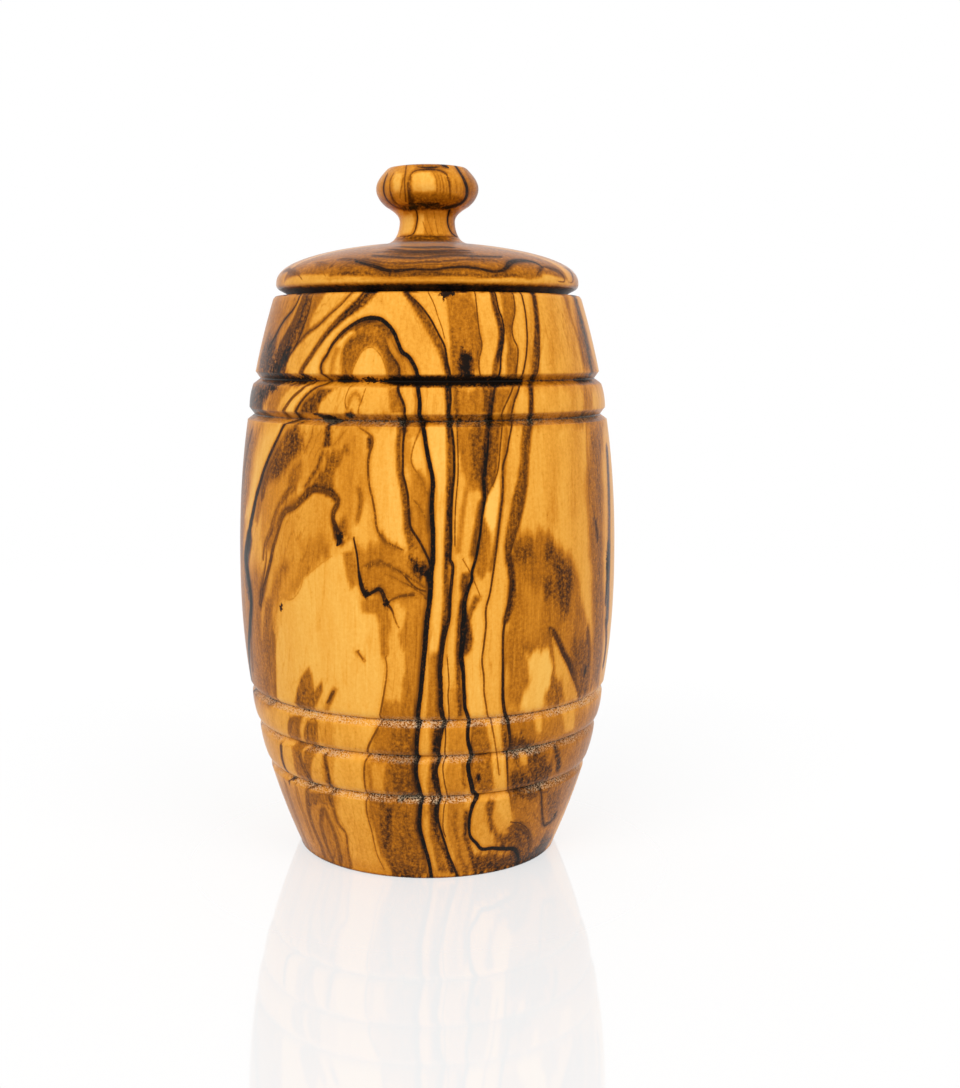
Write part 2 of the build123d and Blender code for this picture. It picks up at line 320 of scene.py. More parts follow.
# %% [markdown]
# Left of the heart vein the block was cut near the bark: the veins swing off the
# shoulder to the left and bend round the arches and the knot of the belly.
# %% Veins of the shoulder and the left belly
BARREL_VEINS += [
    (0.9, (1.5, 1.5), 4, 0, [301,290, 295,307, 283,322, 276,335, 268,350]),
    ((0.7, 0.7, 0.72, 0.78, 0.76, 0.8, 0.7), (5, 7, 8, 8, 9, 8, 5), 1, 2, [306,294, 301,306, 297,317,
        292,328, 286,339, 282,350, 279,362, 276,373]),
    (0.88, (1, 1.5, 1), 3, 0, [313,292, 307,317, 297,343, 290,355, 284,368]),
    (0.8, (1.3, 1.3, 1), 2, 2, [353,290, 341,305, 329,315, 317,327, 307,333, 300,341, 293,350, 287,362]),
    (0.7, (2.4, 2.6, 3, 2.6), 3, 3, [367,290, 352,310, 342,317, 331,327, 321,340, 315,350, 307,361, 301,371,
        302,378, 305,386, 296,396, 285,409, 277,419]),
    ((0.42, 0.4, 0.42, 0.46, 0.8, 0.92, 0.9, 0.9, 0.9, 0.92), (1.2, 1.2, 1.4, 1.5, 3, 2.5, 2.2, 2.5, 2),
        (9, 9, 4), 0, [327,450, 328,426, 333,414, 339,400, 341,386, 341,374, 342,360, 344,345, 352,335,
        362,328, 372,326, 380,330, 384,335, 388,350, 398,365, 399,372, 398,388, 403,401, 405,409, 403,421,
        405,426, 403,445, 403,465, 403,475, 405,482, 408,497, 409,513, 410,526, 414,533, 420,542, 426,554,
        430,564, 432,576]),
    (0.6, (1, 1.3, 1), 0, 5, [349,416, 346,402, 350,385, 352,372, 357,360, 362,351, 371,347, 378,352,
        383,360, 387,372, 390,384, 391,394]),
    (0.75, (1.2, 1), [427,290, 434,304, 438,317, 442,328, 445,340]),
    ((0.6, 0.62, 0.72, 0.72, 0.7, 0.66), (1.2, 1.4, 2.6, 2, 2.2, 2), 2, 3, [366,387, 363,399, 359,409,
        358,419, 359,427, 369,434, 373,442, 369,455, 368,470, 369,484, 372,497, 375,513, 377,529, 384,540,
        394,546, 405,551]),
    (0.58, (2, 1.8), 2, 0, [359,488, 361,504, 357,523]),
    (0.62, (2, 1.8), 3, 0, [290,490, 283,498, 277,509, 272,522, 271,530, 265,543, 263,560]),
    ((0.66, 0.74, 0.76, 0.7, 0.7, 0.74, 0.74, 0.76, 0.98), (2.4, 3, 3.4, 3, 3, 3.6, 3.6, 3.6, 5),
        0, (8, 12, 14, 10), [261,607, 262,596, 266,580, 271,559, 273,548, 277,535, 281,521, 286,512,
        297,506, 306,493, 315,489, 322,491, 331,493, 337,498, 338,504, 334,511, 333,519, 336,527, 338,535,
        340,543]),
    (0.45, (1.2, 1.2), (9, 9, 9, 12), 0, [332,556, 325,561, 320,564, 312,571, 303,579, 301,587, 295,597,
        288,600, 285,596, 279,599, 276,615, 272,635, 271,650, 271,667, 275,692]),
    ((0.95, 0.95, 0.95, 0.95, 0.85, 0.6), (1.4, 2, 2, 4.6, 2.8, 4.6, 2, 1.2), (8, 5, 0), 2, [353,535,
        357,555, 359,574, 362,587, 366,595, 373,592, 380,589, 384,597, 386,603, 392,610, 395,620, 399,628]),
    (0.66, (1.2, 1.8, 1.6), [289,430, 282,444, 275,458, 269,471, 265,485, 262,500]),
    (0.6, (1.4, 1.2), [313,428, 311,438, 305,450]),
    (0.56, (1.6, 1.4), [346,428, 340,438, 333,446]),
    (0.64, (1.2, 1.8, 1.2), [266,548, 266,562, 263,580, 260,596]),
    (0.72, (1.2, 1.8, 1.2), 0, 1, [252,430, 247,452, 243,478, 240,505]),
    (0.7, (1, 1.6, 1), 0, 1, [260,318, 255,336, 251,352, 247,370]),
    (0.66, (1.2, 1.8, 1.2), 0, 1, [582,296, 588,318, 593,342, 597,362]),
]
print("with the left side:", len(BARREL_VEINS))

# %% [markdown]
# Short veins join the long ones under the knot, and curl over the foot and on the right.
# %% Short veins of the belly and the foot
BARREL_VEINS += [
    (0.66, (2.4, 2), 0, 5, [363,569, 372,564, 382,563, 395,569, 409,577, 421,585, 428,590]),
    (0.66, (1.2, 1.8, 1.6), 0, 4, [384,573, 393,577, 402,582, 412,587, 422,594, 430,600]),
    (0.72, (1.2, 2.6, 1.6), 0, 4, [386,604, 393,599, 402,596, 412,595, 422,597, 430,600]),
    (0.7, (1.2, 2, 2.2, 2, 1.6, 1.2), [385,655, 387,669, 385,687, 382,704, 380,715, 378,728, 368,749,
        365,764, 366,792, 367,813, 372,832, 377,854, 385,871]),
    (0.75, (3, 2), 1, 1, [334,690, 327,704]),
    (0.75, (1.5, 1.2), [357,651, 364,661]),
    (0.6, (1.6, 1.6), [290,738, 292,723, 296,719, 300,725, 301,738]),
    (0.6, (1.6, 1.6), [307,742, 309,723, 314,719, 318,726, 319,741]),
    (0.85, (1.4, 1.4), 4, 2, [281,745, 286,769, 290,785]),
    (0.64, (1.4, 2.8, 2.6), 1, 1, [300,752, 306,768, 311,782, 307,791, 309,813, 314,829, 321,845, 326,861]),
    (0.64, (1.4, 2.8, 2.6), 1, 1, [325,754, 328,769, 330,793, 334,810, 338,823, 346,834, 348,850, 352,869]),
    (0.64, (1.4, 2.8, 2.6), 1, 1, [334,863, 325,840, 321,823, 324,809, 328,818, 335,834, 339,850, 341,868]),
    (0.84, (1.2, 1.8, 1.8, 1.6), (5, 3), 1, [529,768, 537,784, 541,792, 542,812, 544,825, 550,822,
        556,816]),
    (0.74, (1.4, 1.8, 1.4), 3, 1, [510,822, 519,823.5, 526,828, 530,837, 530,850]),
    (0.85, (1.5, 1.5), 4, 0, [516,750, 522,739, 528,750]),
    ((0.6, 0.6, 0.64, 0.8, 0.86, 0.84, 0.72, 0.66), (1.4, 1.4, 1.4, 2.4, 3.4, 3.6, 1.8, 1.2),
        6, 0, [551,680, 554,665, 552,648, 550,630, 555,635, 560,645, 564,655, 569,664, 573,676, 577,688,
        579,700]),
    (0.66, (1.6, 1.4), 2, 4, [587,627, 589,640, 590,653, 588,664]),
    (0.95, (1.2, 2.4, 1), [586,666, 585,671, 584.5,677]),
    (0.7, (1, 1), [462,558, 471,574, 481,598]),
]
print("drawn veins:", len(BARREL_VEINS))

# %% [markdown]
# Under the veins lies the colour of the wood itself, as one number from 0, pale gold,
# over 0.5, honey brown, to 1, black. A field is an area with one such tone: the tone,
# how soft its edge is in dots, and its outline. Fields are painted over each other in
# this order, so the wide ones that only tint the wood come first. Those along both edges
# are darker partly as painted shade, where the wall turns away from the light.
# %% Fields: wide tints
BARREL_FIELDS = [
    # the next three, along the left edge, are darker partly as painted shade
    (0.48, 5, [262,292, 300,292, 290,325, 276,350, 268,376, 256,376]),
    (0.60, 4, [244,425, 262,425, 256,445, 252,470, 248,500, 245,530, 243,570, 236,570, 238,480]),
    (0.52, 5, [236,560, 262,570, 272,600, 276,640, 276,700, 250,700, 238,620]),
    (0.37, 5, [290,426, 358,426, 366,440, 366,500, 350,535, 338,540, 338,500, 322,490, 306,490, 284,502,
        262,540, 262,480]),
    (0.38, 4, [405,428, 422,428, 429,460, 433,500, 433,550, 428,600, 404,600, 362,590, 356,545, 384,545,
        404,552, 410,520]),
    (0.50, 3, [522,530, 530,533, 540,528, 550,535, 560,545, 568,552, 575,565, 580,585, 585,610, 590,640,
        590,680, 585,700, 508,708, 506,650, 509,620, 512,590, 512,555]),
    # along the right edge, darker partly as painted shade
    (0.58, 4, [589,420, 602,420, 602,470, 603,560, 603,640, 598,690, 590,690, 592,640, 590,560, 588,520,
        586,480]),
    (0.42, 4, [505,715, 600,700, 590,740, 572,790, 550,840, 530,866, 512,866, 508,790]),
    (0.36, 4, [268,780, 330,790, 352,868, 330,868, 300,850]),
]
print("fields so far:", len(BARREL_FIELDS))

# %% [markdown]
# On the shoulder, smoky fields fill the arches of the veins, and the edge above the
# cut is nearly black, as if the cutter had burnt it. A few broad fields would look
# washed, so each stretch between two veins has its own.
# %% Fields: shoulder
BARREL_FIELDS += [
    (0.68, 2, [302,292, 314,292, 311,301, 307,314, 303,330, 298,341, 291,352, 287,363, 284,377, 269,377,
        272,362, 276,352, 281,341, 287,333, 294,324, 299,311]),
    (0.78, 3, [277,340, 274,355, 270,377, 258,377, 262,352, 268,338]),
    (0.90, 2, [289,346, 280,357, 273,370, 277,376, 286,364, 291,352]),
    (0.48, 1.5, [314,292, 326,292, 313,316, 309,328, 318,327, 306,336, 297,344, 290,355, 300,338, 304,326,
        309,310]),
    (0.10, 1.5, [356,312, 349,322, 336,334, 326,348, 319,362, 316,376, 308,376, 312,362, 322,346, 334,330,
        346,318]),
    (0.56, 1.5, [341,377, 341,360, 343,348, 348,339, 356,333, 365,328, 374,327, 382,330, 386,338, 389,348,
        393,357, 398,366, 398,377]),
    (0.16, 1.2, [351,377, 353,368, 357,360, 361,353, 366,348, 371,346, 376,348, 381,354, 385,362, 387,377]),
    (0.36, 1.5, [386,334, 391,335, 396,345, 402,354, 409,360, 414,368, 416,377, 400,377, 398,364, 392,352,
        388,345]),
    (0.52, 2.5, [447,290, 472,290, 477,310, 479,330, 482,345, 480,360, 478,376, 454,376, 452,360, 450,345,
        449,325, 447,308]),
    (0.96, 2.5, [460,351, 471,351, 473,364, 474,378, 459,378, 459,364]),
    (0.52, 1.2, [500,290, 513,290, 515,310, 512,325, 512,340, 517,350, 517,376, 507,376, 506,360, 508,348,
        506,335, 504,325, 503,310]),
    (0.60, 3, [563,292, 576,292, 582,315, 588,335, 592,355, 597,374, 588,377, 583,362, 578,342, 571,320,
        566,305]),
    (0.72, 2, [266,376, 300,377, 310,382, 292,384, 270,383]),
    (0.74, 1.5, [328,376, 350,376, 354,381, 340,383, 330,381]),
    (0.42, 3, [524,378, 602,376, 602,386, 526,388]),
    (0.76, 1.5, [577,379, 590,378, 596,382, 580,383]),
    (0.80, 1, [380,380, 390,377, 430,376, 480,376.5, 523,378, 523,385, 500,387, 450,387, 400,386, 376,382]),
]
print("fields so far:", len(BARREL_FIELDS))

# %% [markdown]
# The hoop under it shows the same fields, moved a little. They are drawn once more
# instead of being led through the cut, because it bares another depth of the wood.
# %% Fields: hoop between the shoulder cuts
BARREL_FIELDS += [
    (0.84, 2, [255,383, 279,383, 276,390, 270,396, 266,404, 262,413, 248,413, 250,395]),
    (0.44, 1.5, [279,386, 292,386, 284,398, 276,412, 266,412, 270,399]),
    (0.04, 1.2, [298,388, 309,388, 303,396, 297,404, 293,412, 281,412, 288,401]),
    (0.68, 1.2, [322,388, 337,388, 327,396, 321,404, 318,413, 299,413, 306,402, 313,395]),
    (0.52, 1.5, [389,388, 398,388, 401,397, 404,406, 405,413, 391,413, 390,400]),
    (0.50, 2, [452,388, 495,388, 493,400, 490,426, 452,426]),
    (0.50, 1.2, [496,388, 512,388, 508,396, 503,405, 501,413, 492,413, 494,400]),
    (0.46, 3, [581,387, 592,387, 592,414, 584,414]),
    (0.40, 2, [330,414, 600,412, 606,424, 450,428, 330,425]),
    (0.92, 1.2, [311,413, 320,414, 328,417, 336,422, 331,424, 316,421]),
    (0.80, 2, [394,419, 405,418, 406,428, 396,427]),
    (0.60, 2, [570,417, 598,415, 600,422, 572,424]),
]
print("fields so far:", len(BARREL_FIELDS))

# %% [markdown]
# Left of the heart vein lies the knot: a pale heart in rings of honey and smoke. The
# rings are closed fields, laid from the outer ones to the inner ones.
# %% Fields: left belly
BARREL_FIELDS += [
    (0.06, 2, [268,428, 283,427, 277,436, 270,450, 263,466, 257,482, 253,500, 249,518, 245,518, 250,495,
        254,475, 260,455, 264,440]),
    (0.50, 1.5, [287,428, 290,432, 283,447, 275,462, 268,480, 263,500, 258,524, 255,520, 259,495, 266,470,
        275,450]),
    (0.72, 3, [290,426, 300,427, 301,440, 305,447, 298,455, 290,463, 282,473, 275,483, 268,480, 275,462,
        283,447, 287,435]),
    (0.80, 1.5, [326,424, 331,424, 331,446, 322,448, 325,437]),
    (0.58, 2.5, [332,448, 350,446, 351,454, 341,458, 336,454]),
    (0.62, 2, [325,452, 338,452, 341,458, 336,468, 333,478, 335,490, 338,500, 330,494, 318,490, 306,491,
        313,482, 321,474, 326,464]),
    (0.56, 2.5, [295,462, 302,463, 301,480, 297,491, 289,497, 281,502, 286,490, 291,475]),
    (0.30, 2.5, [310,493, 322,494, 331,501, 330,512, 333,530, 333,545, 318,563, 302,577, 297,592, 285,599,
        276,602, 268,640, 262,640, 262,606, 270,578, 276,550, 282,526, 291,513, 300,506]),
    (0.44, 4, [300,538, 322,537, 332,546, 330,556, 318,563, 306,574, 298,590, 290,597, 296,575, 300,560]),
    (0.52, 3, [284,558, 288,566, 281,586, 275,602, 271,622, 266,640, 264,620, 270,595, 277,572]),
    (0.70, 1.5, [306,490, 315,486, 333,489, 340,499, 338,508, 334,516, 336,527, 338,541, 346,541, 343,546,
        334,540, 332,528, 331,513, 335,503, 331,497, 322,492, 313,493, 308,499, 299,506, 303,497]),
    (0.58, 2.5, [340,518, 346,520, 347,532, 352,539, 340,542, 337,530]),
    (0.10, 1.5, [320,564, 331,557, 342,556, 346,573, 350,588, 356,597, 360,611, 376,616, 379,640, 381,656,
        385,670, 384,690, 380,717, 330,717, 324,700, 310,667, 297,690, 293,708, 277,702, 274,665, 277,640,
        282,618, 286,601, 296,595, 303,580, 312,572]),
    (0.50, 1.5, [343,553, 353,550, 357,565, 357,584, 351,590, 347,578]),
    (0.66, 1.5, [367,437, 374,435, 376,444, 372,453, 367,447]),
    (0.14, 2, [372,430, 396,430, 397,470, 402,500, 404,530, 402,547, 392,542, 380,533, 375,505, 371,480,
        372,455]),
    (0.16, 2, [410,440, 422,434, 426,455, 428,478, 418,470, 412,460]),
    (0.46, 2, [412,470, 420,474, 430,486, 431,545, 420,538, 411,520, 410,490]),
    (0.50, 2, [377,533, 386,540, 397,546, 406,551, 404,558, 386,560, 380,548]),
    (0.46, 1.5, [360,600, 381,598, 388,608, 391,620, 391,650, 386,659, 381,656, 380,640, 379,622, 376,615,
        362,612]),
    (0.46, 3, [356,548, 380,544, 404,552, 430,548, 430,600, 404,604, 384,600, 362,592]),
    (0.88, 2, [407,558, 418,563, 429,571, 429,582, 412,574]),
    (0.44, 2, [404,600, 426,598, 425,640, 421,680, 416,718, 401,718, 402,680, 406,650, 398,636, 404,620]),
    (0.20, 2, [391,628, 398,640, 403,655, 401,680, 400,718, 386,718, 387,690, 388,660]),
    (0.56, 1.2, [294,710, 297,690, 301,677, 309,666, 312,678, 314,692, 322,680, 323,690, 318,702, 312,711]),
]
print("fields so far:", len(BARREL_FIELDS))

# %% [markdown]
# The middle is streaked upright, in narrow fields between the long veins. The right is
# plain gold round one smoky eye, so its fields have soft edges.
# %% Fields: middle and right belly
BARREL_FIELDS += [
    (0.10, 1.5, [424,425, 446,425, 446,470, 445,540, 445,600, 440,650, 430,650, 434,600, 437,540, 437,480]),
    (0.52, 1.5, [430,655, 438,653, 437,720, 426,720, 428,690]),
    (0.50, 2, [456,426, 489,426, 486,445, 484,470, 483,492, 474,490, 466,480, 460,470, 458,450]),
    (0.64, 2, [470,426, 483,426, 482,470, 480,480, 471,478]),
    (0.60, 1.5, [490,424, 500,424, 499,450, 497,470, 494,485, 489,495, 486,500, 487,480, 488,455]),
    (0.00, 1.2, [498,478, 500,492, 500,505, 499,518, 495,530, 490,529, 485,516, 485,505, 488,497, 494,488]),
    (0.50, 1.5, [484,519, 488,526, 491,535, 491,552, 489,566, 483,580, 476,576, 480,550, 482,535]),
    (0.62, 1.5, [523,424, 532,424, 531,445, 529,465, 528,485, 525,505, 520,525, 513,545, 505,566, 504,545,
        508,522, 512,500, 517,480, 520,460, 521,440]),
    (0.74, 4, [554,554, 562,556, 568,565, 573,578, 574,590, 570,600, 568,616, 561,614, 559,600, 557,586,
        558,574, 553,566]),
    (0.68, 3, [545,544, 552,544, 555,555, 551,565, 545,562]),
    (0.66, 3.5, [543,580, 553,576, 558,588, 555,602, 545,600]),
    (0.64, 4, [514,545, 530,541, 534,556, 520,566, 512,562]),
    (0.38, 5, [524,585, 540,590, 542,640, 526,640]),
    (0.03, 2.5, [526,656, 534,650, 548,652, 552,668, 551,683, 546,692, 542,712, 520,712, 524,694, 532,679,
        528,668]),
    (0.26, 1.5, [551,632, 557,646, 565,660, 571,670, 576,682, 578,700, 565,702, 563,686, 556,676, 553,660]),
    (0.60, 2, [553,676, 561,682, 562,704, 549,706, 549,690]),
    (0.62, 3, [572,640, 588,636, 591,665, 588,697, 580,698, 577,680, 571,664]),
    (0.66, 1.5, [462,572, 470,574, 468,588, 462,600, 460,586]),
    (0.62, 1.5, [474,596, 482,597, 476,607, 472,617, 468,624, 469,610]),
    (0.70, 1.2, [466,612, 471,625, 473,640, 470,652, 464,656, 464,635]),
    (0.10, 2, [474,608, 483,606, 483,640, 480,670, 483,718, 468,716, 466,690, 465,664, 474,645]),
]
print("fields so far:", len(BARREL_FIELDS))

# %% [markdown]
# On the foot the streaks of the belly run on as columns through all three cuts. Each
# column is one long field, and its darker core is a second one on top.
# %% Fields: foot
BARREL_FIELDS += [
    (0.48, 1.5, [290,716, 303,716, 300,741, 304,760, 311,784, 304,784, 297,765, 290,741]),
    (0.50, 1.5, [308,722, 319,722, 317,745, 314,760, 312,786, 306,770, 304,745]),
    (0.30, 2, [321,724, 336,724, 336,760, 336,800, 330,806, 324,790, 322,757]),
    (0.18, 2, [338,724, 376,724, 368,750, 364,790, 368,830, 376,860, 382,878, 352,876, 346,834, 338,800]),
    (0.46, 2, [386,702, 418,700, 417,750, 418,795, 421,830, 428,876, 394,878, 380,850, 372,826, 368,796,
        368,762, 378,726]),
    (0.56, 1.5, [393,730, 404,726, 414,732, 413,768, 417,796, 404,799, 394,792, 390,768]),
    (0.60, 1.5, [380,800, 390,804, 393,830, 391,852, 383,848, 380,826]),
    (0.50, 1.5, [396,812, 412,808, 417,830, 418,850, 404,852, 396,842]),
    (0.54, 2, [386,854, 402,850, 422,854, 428,876, 396,878]),
    (0.30, 1.5, [372,764, 386,763, 384,780, 384,796, 374,795]),
    (0.48, 1.5, [430,655, 440,655, 439,700, 438,742, 434,765, 434,800, 438,842, 448,872, 438,872, 430,836,
        428,790, 430,740, 428,700]),
    (0.66, 1.2, [434,728, 440,726, 438,752, 432,752]),
    (0.36, 2, [449,690, 461,690, 465,740, 464,800, 466,840, 476,874, 458,874, 449,842, 446,800, 448,750]),
    (0.54, 1.5, [472,720, 486,724, 491,748, 494,790, 482,795, 474,786, 470,764, 471,740]),
    (0.18, 2, [491,724, 504,724, 506,760, 507,795, 512,824, 505,822, 497,806, 496,760]),
    (0.46, 4, [510,716, 600,700, 590,740, 572,790, 556,820, 545,824, 540,795, 528,768, 511,760]),
    (0.66, 2.5, [511,738, 522,734, 534,742, 545,752, 552,770, 544,786, 537,782, 528,768, 518,764, 510,756]),
    (0.66, 2, [510,770, 524,772, 533,782, 538,794, 530,800, 516,796, 511,786]),
    (0.20, 1.5, [534,716, 542,716, 541,732, 536,732]),
    (0.20, 1.5, [562,708, 575,706, 573,730, 564,732]),
    (0.22, 1.5, [519,752, 528,754, 527,766, 520,764]),
    (0.48, 1.5, [306,792, 331,793, 334,806, 322,803, 312,806, 311,820, 307,808]),
    (0.22, 2, [474,800, 486,800, 486,815, 488,832, 497,846, 482,846, 472,834, 472,812]),
    (0.56, 2, [486,800, 495,800, 494,815, 493,828, 500,836, 515,826, 526,830, 530,842, 529,856, 519,856,
        517,846, 497,845, 489,830]),
    (0.12, 1.5, [497,794, 509,794, 512,812, 511,826, 505,822, 497,808]),
    (0.60, 2, [476,853, 516,853, 521,861, 505,870, 480,873, 472,862]),
    # at the foot's lower right edge, dark partly as a painted contact shadow
    (0.66, 2, [551,835, 553,836, 542,858, 520,868, 518,859, 530,852, 539,844, 545,835]),
    (0.58, 2, [546,790, 560,792, 558,815, 549,822]),
]
print("fields:", len(BARREL_FIELDS))

# %% [markdown]
# A stroke is a band: its tone, the softness of its edge, its breadth and the dots of its
# middle line. Strokes are painted over the fields, but those up to three dots broad are
# laid as veins further down, because the mesh is too coarse to hold them.
# %% Strokes of the barrel
BARREL_STROKES = [
    (0.70, 1.2, (15, 12, 8, 5, 4, 4, 4, 4), [371,290, 361,302, 347,313, 335,325, 325,336, 316,348, 309,359,
        303,368, 299,377]),
    (0.55, 1.2, (2, 3, 5, 4, 3), [353,292, 338,306, 325,319, 310,331, 300,341, 292,351]),
    (0.64, 2, 6, [343,339, 352,331, 360,326, 368,323, 376,324, 384,328, 389,335]),
    (0.04, 1.2, 4, [336,348, 341,342, 347,336, 353,332]),
    (0.42, 1.5, 6, [337,349, 333,360, 331,377]),
    (0.66, 1.5, 4, [345,352, 351,343, 359,339, 367,338, 375,340, 382,347]),
    (0.60, 0.8, 1.5, [390,335, 394,345, 400,355, 404,364, 406,377]),
    (0.60, 1.2, (6, 8, 8, 7, 6), [404,290, 413,302, 421,314, 428,326, 434,337, 440,349, 445,361, 448,375]),
    (0.62, 3, 5, [452,330, 453,350, 455,376]),
    (0.68, 1.2, (5, 6, 7, 6, 5), [492,290, 494,305, 498,318, 501,330, 501,340, 499,352, 496,362, 494,376]),
    (0.36, 1.5, 4, [530,292, 530,376]),
    (0.66, 1.2, (6, 7, 7, 8, 7, 6), [534,290, 536,310, 537,330, 536,350, 535,365, 534,378]),
    (0.80, 2, (3, 5, 4), [574,292, 581,320, 587,345, 592,372]),
    (0.46, 1.2, 2.5, [347,414, 349,405, 352,396, 356,393, 360,396, 361,404]),
    (0.85, 1.2, 5, [346,416, 351,414]),
    (0.72, 1, 5, [447,388, 448,400, 449,424]),
    (0.68, 1.5, 5, [457,388, 457,424]),
    (0.68, 2.5, 7, [489,390, 487,424]),
    (0.46, 1.5, 5, [516,390, 512,402, 508,414]),
    (0.76, 1, 5, [531,386, 531,400, 531,422]),
    (0.30, 6, 12, [552,300, 553,370]),
    (0.30, 6, 10, [553,395, 553,520]),
    (0.30, 6, 8, [571,300, 572,410, 574,510]),
    (0.66, 1.5, 4, [322,454, 318,467, 311,478, 305,487]),
    (0.52, 2.5, 7, [301,498, 289,506, 279,516, 273,531, 268,546]),
    (0.56, 1.2, 4, [359,488, 361,500, 359,512, 357,522]),
    (0.40, 3, 8, [353,440, 354,490]),
    (0.64, 1.2, (5, 6, 7, 8), [400,428, 398,445, 399,470, 403,490, 406,510, 407,530, 413,548]),
    (0.66, 0.8, 1.5, [421,428, 414,445, 411,460, 415,470, 422,480, 428,495]),
    (0.68, 0.8, 1.5, [412,498, 420,508, 426,520, 428,534]),
    (0.74, 1.2, 2, [402,572, 408,580, 416,588, 428,592]),
    (0.46, 2, 5, [368,585, 380,581, 392,586, 410,592, 424,596]),
    (0.7, 1, 2, [262,588, 260,606]),
    (0.56, 2, 8, [269,604, 266,630, 266,660, 267,700]),
    (0.64, 1, 2, [251,598, 251,640, 253,672]),
    (0.50, 1.5, 4, [256,575, 255,620, 257,655]),
    (0.56, 1, 2.5, [274,632, 275,660, 276,700]),
    (0.78, 1.5, (9, 8, 6, 4), [249,540, 246,560, 247,580, 249,596]),
    (0.42, 2, 6, [335,690, 327,708]),
    (0.48, 1.2, 3, [356,650, 365,662]),
    (0.66, 1, (5, 5, 5, 6, 6, 6, 5, 4), [448,425, 449,450, 449,480, 448,510, 447,540, 446,570, 446,600,
        443,630, 440,655]),
    (0.76, 2, (3, 5, 5, 3), [486,428, 485,450, 484,470, 484,488, 484,502]),
    (0.46, 1.5, 5, [467,488, 463,510, 461,530, 458,552]),
    (0.58, 1.5, 6, [481,503, 478,520, 475,536, 472,556]),
    (0.48, 1.5, 5, [506,430, 504,460, 503,480, 502,500, 499,520, 496,545, 490,570]),
    (0.82, 0.8, 1.5, [595,518, 598,542]),
    (0.80, 1.2, 4, [607,450, 609,500, 609,540]),
    (0.90, 1.2, 5, [609,545, 608,585, 607,620]),
    (0.80, 1.5, 3, [606,620, 606,645, 603,668]),
    (0.68, 2, 7, [509,558, 512,580, 511,604, 506,620]),
    (0.74, 1.5, (2, 3, 4, 3), [550,627, 556,636, 562,648, 567,660, 571,668]),
    (0.66, 1.2, 5, [462,600, 459,620, 458,650, 458,680, 460,716]),
    (0.64, 1.5, 4, [409,730, 409,753]),
    (0.66, 1.2, 6, [503,722, 505,752]),
    (0.70, 1.2, 3, [282,745, 285,765, 290,780]),
    (0.52, 1.5, 5, [297,757, 298,770, 303,782]),
    (0.66, 1.2, 4, [325,756, 329,770, 331,787]),
    (0.52, 1.2, 4, [389,762, 388,794]),
    (0.68, 1, 4, [433,764, 434,780, 437,795]),
    (0.54, 1.5, 4, [463,764, 465,788]),
    (0.92, 1, 4, [478,776, 479,780]),
    (0.80, 2, 5, [556,748, 558,768]),
    (0.54, 1, 3, [285,782, 292,805, 300,826, 308,846]),
    (0.48, 0.8, 2, [296,785, 299,800, 306,820, 314,842]),
    (0.68, 2.5, 6, [390,808, 388,826, 386,846]),
    (0.96, 1, 4, [398,801, 404,797, 418,797]),
    (0.70, 1, 5, [435,803, 435,825, 439,840, 446,856, 452,872]),
    (0.50, 1.5, 5, [455,812, 456,835, 460,855, 466,874]),
    (0.68, 1.5, 5, [466,812, 465,835, 470,850, 476,872]),
    (0.66, 1.2, 3, [508,828, 516,825, 525,829, 530,838, 530,852]),
]
print("strokes:", len(BARREL_STROKES))

# %% [markdown]
# A few places are burnt or knotted to black. Each is a cloud: its middle, its half
# breadth and half height in dots, and how black it is.
# %% Char of the barrel
BARREL_CHAR = [
    (450, 381.5, 64, 4.6, 0.9), (366, 380, 14, 3, 0.7), (465, 362, 5, 11, 1.0), (449, 293, 11, 3.2, 0.8),
    (443, 298, 4, 5, 0.6), (422, 572, 9, 7, 0.6), (340, 537, 4, 5, 1.0), (366, 594, 5, 4, 0.9),
    (281, 607, 2, 4, 1.0), (386, 603, 4, 5, 0.8), (324, 418, 10, 3, 0.9), (287, 380, 14, 3, 0.9),
    (587, 380, 9, 2, 0.7), (273, 388, 7, 5, 0.8), (262, 396, 7, 10, 0.5), (276, 358, 6, 11, 0.5),
    (285, 352, 5, 9, 0.46), (273, 371, 7, 6, 0.5), (293, 334, 5, 10, 0.46), (302, 316, 4, 9, 0.46),
    (607, 565, 3, 22, 0.7), (546, 824, 4, 3, 0.8), (554, 815, 4, 3, 0.8),
]
print("clouds of char:", len(BARREL_CHAR))

# %% [markdown]
# To paint a field, every mesh point needs its signed distance to the outline; that gives
# an edge of any softness without an image. Soft fields of real wood fray along the
# fibres, so their edges are read at places that short sines shift a little.
# %% Painting fields, strokes and clouds
PLAIN_TONE = 0.2  # gold, where nothing is painted
MM_PER_DOT = 0.1935  # on the front of the pot
FRAYED_FROM = 2  # fields whose edges are at least this soft, in dots, fray along the grain
GRAIN_RUN = 0.55  # and their heights are squeezed by this, so that they fade out longer
LEAST_SOFT = 0.4  # mm; an edge sharper than the mesh would show its points as teeth
MARGIN = 4.0  # mm round a field within which points are looked at
CLOUD_SPREAD = 1.1
LEAST_COSINE = 0.32  # dots at the very outline aren't stretched further than by this


def nearest_on(where, start, run):
    """Share of each edge where it is nearest to each place, and the distance there."""
    x, z = where[:, 0, None] - start[:, 0], where[:, 1, None] - start[:, 1]
    share = np.clip((x * run[:, 0] + z * run[:, 1]) / ((run**2).sum(1) + 1e-12), 0, 1)
    return share, np.hypot(x - share * run[:, 0], z - share * run[:, 1])


def is_odd(where, start, stop):
    """Whether an odd number of the edges is crossed on the way left from each place."""
    run = stop - start
    rise = np.where(np.abs(run[:, 1]) < 1e-9, 1e-9, run[:, 1])
    x, z = where[:, 0, None], where[:, 1, None]
    crosses = (start[:, 1] > z) != (stop[:, 1] > z)
    at = start[:, 0] + (z - start[:, 1]) / rise * run[:, 0]
    return (crosses & (at < x)).sum(1) % 2 == 1


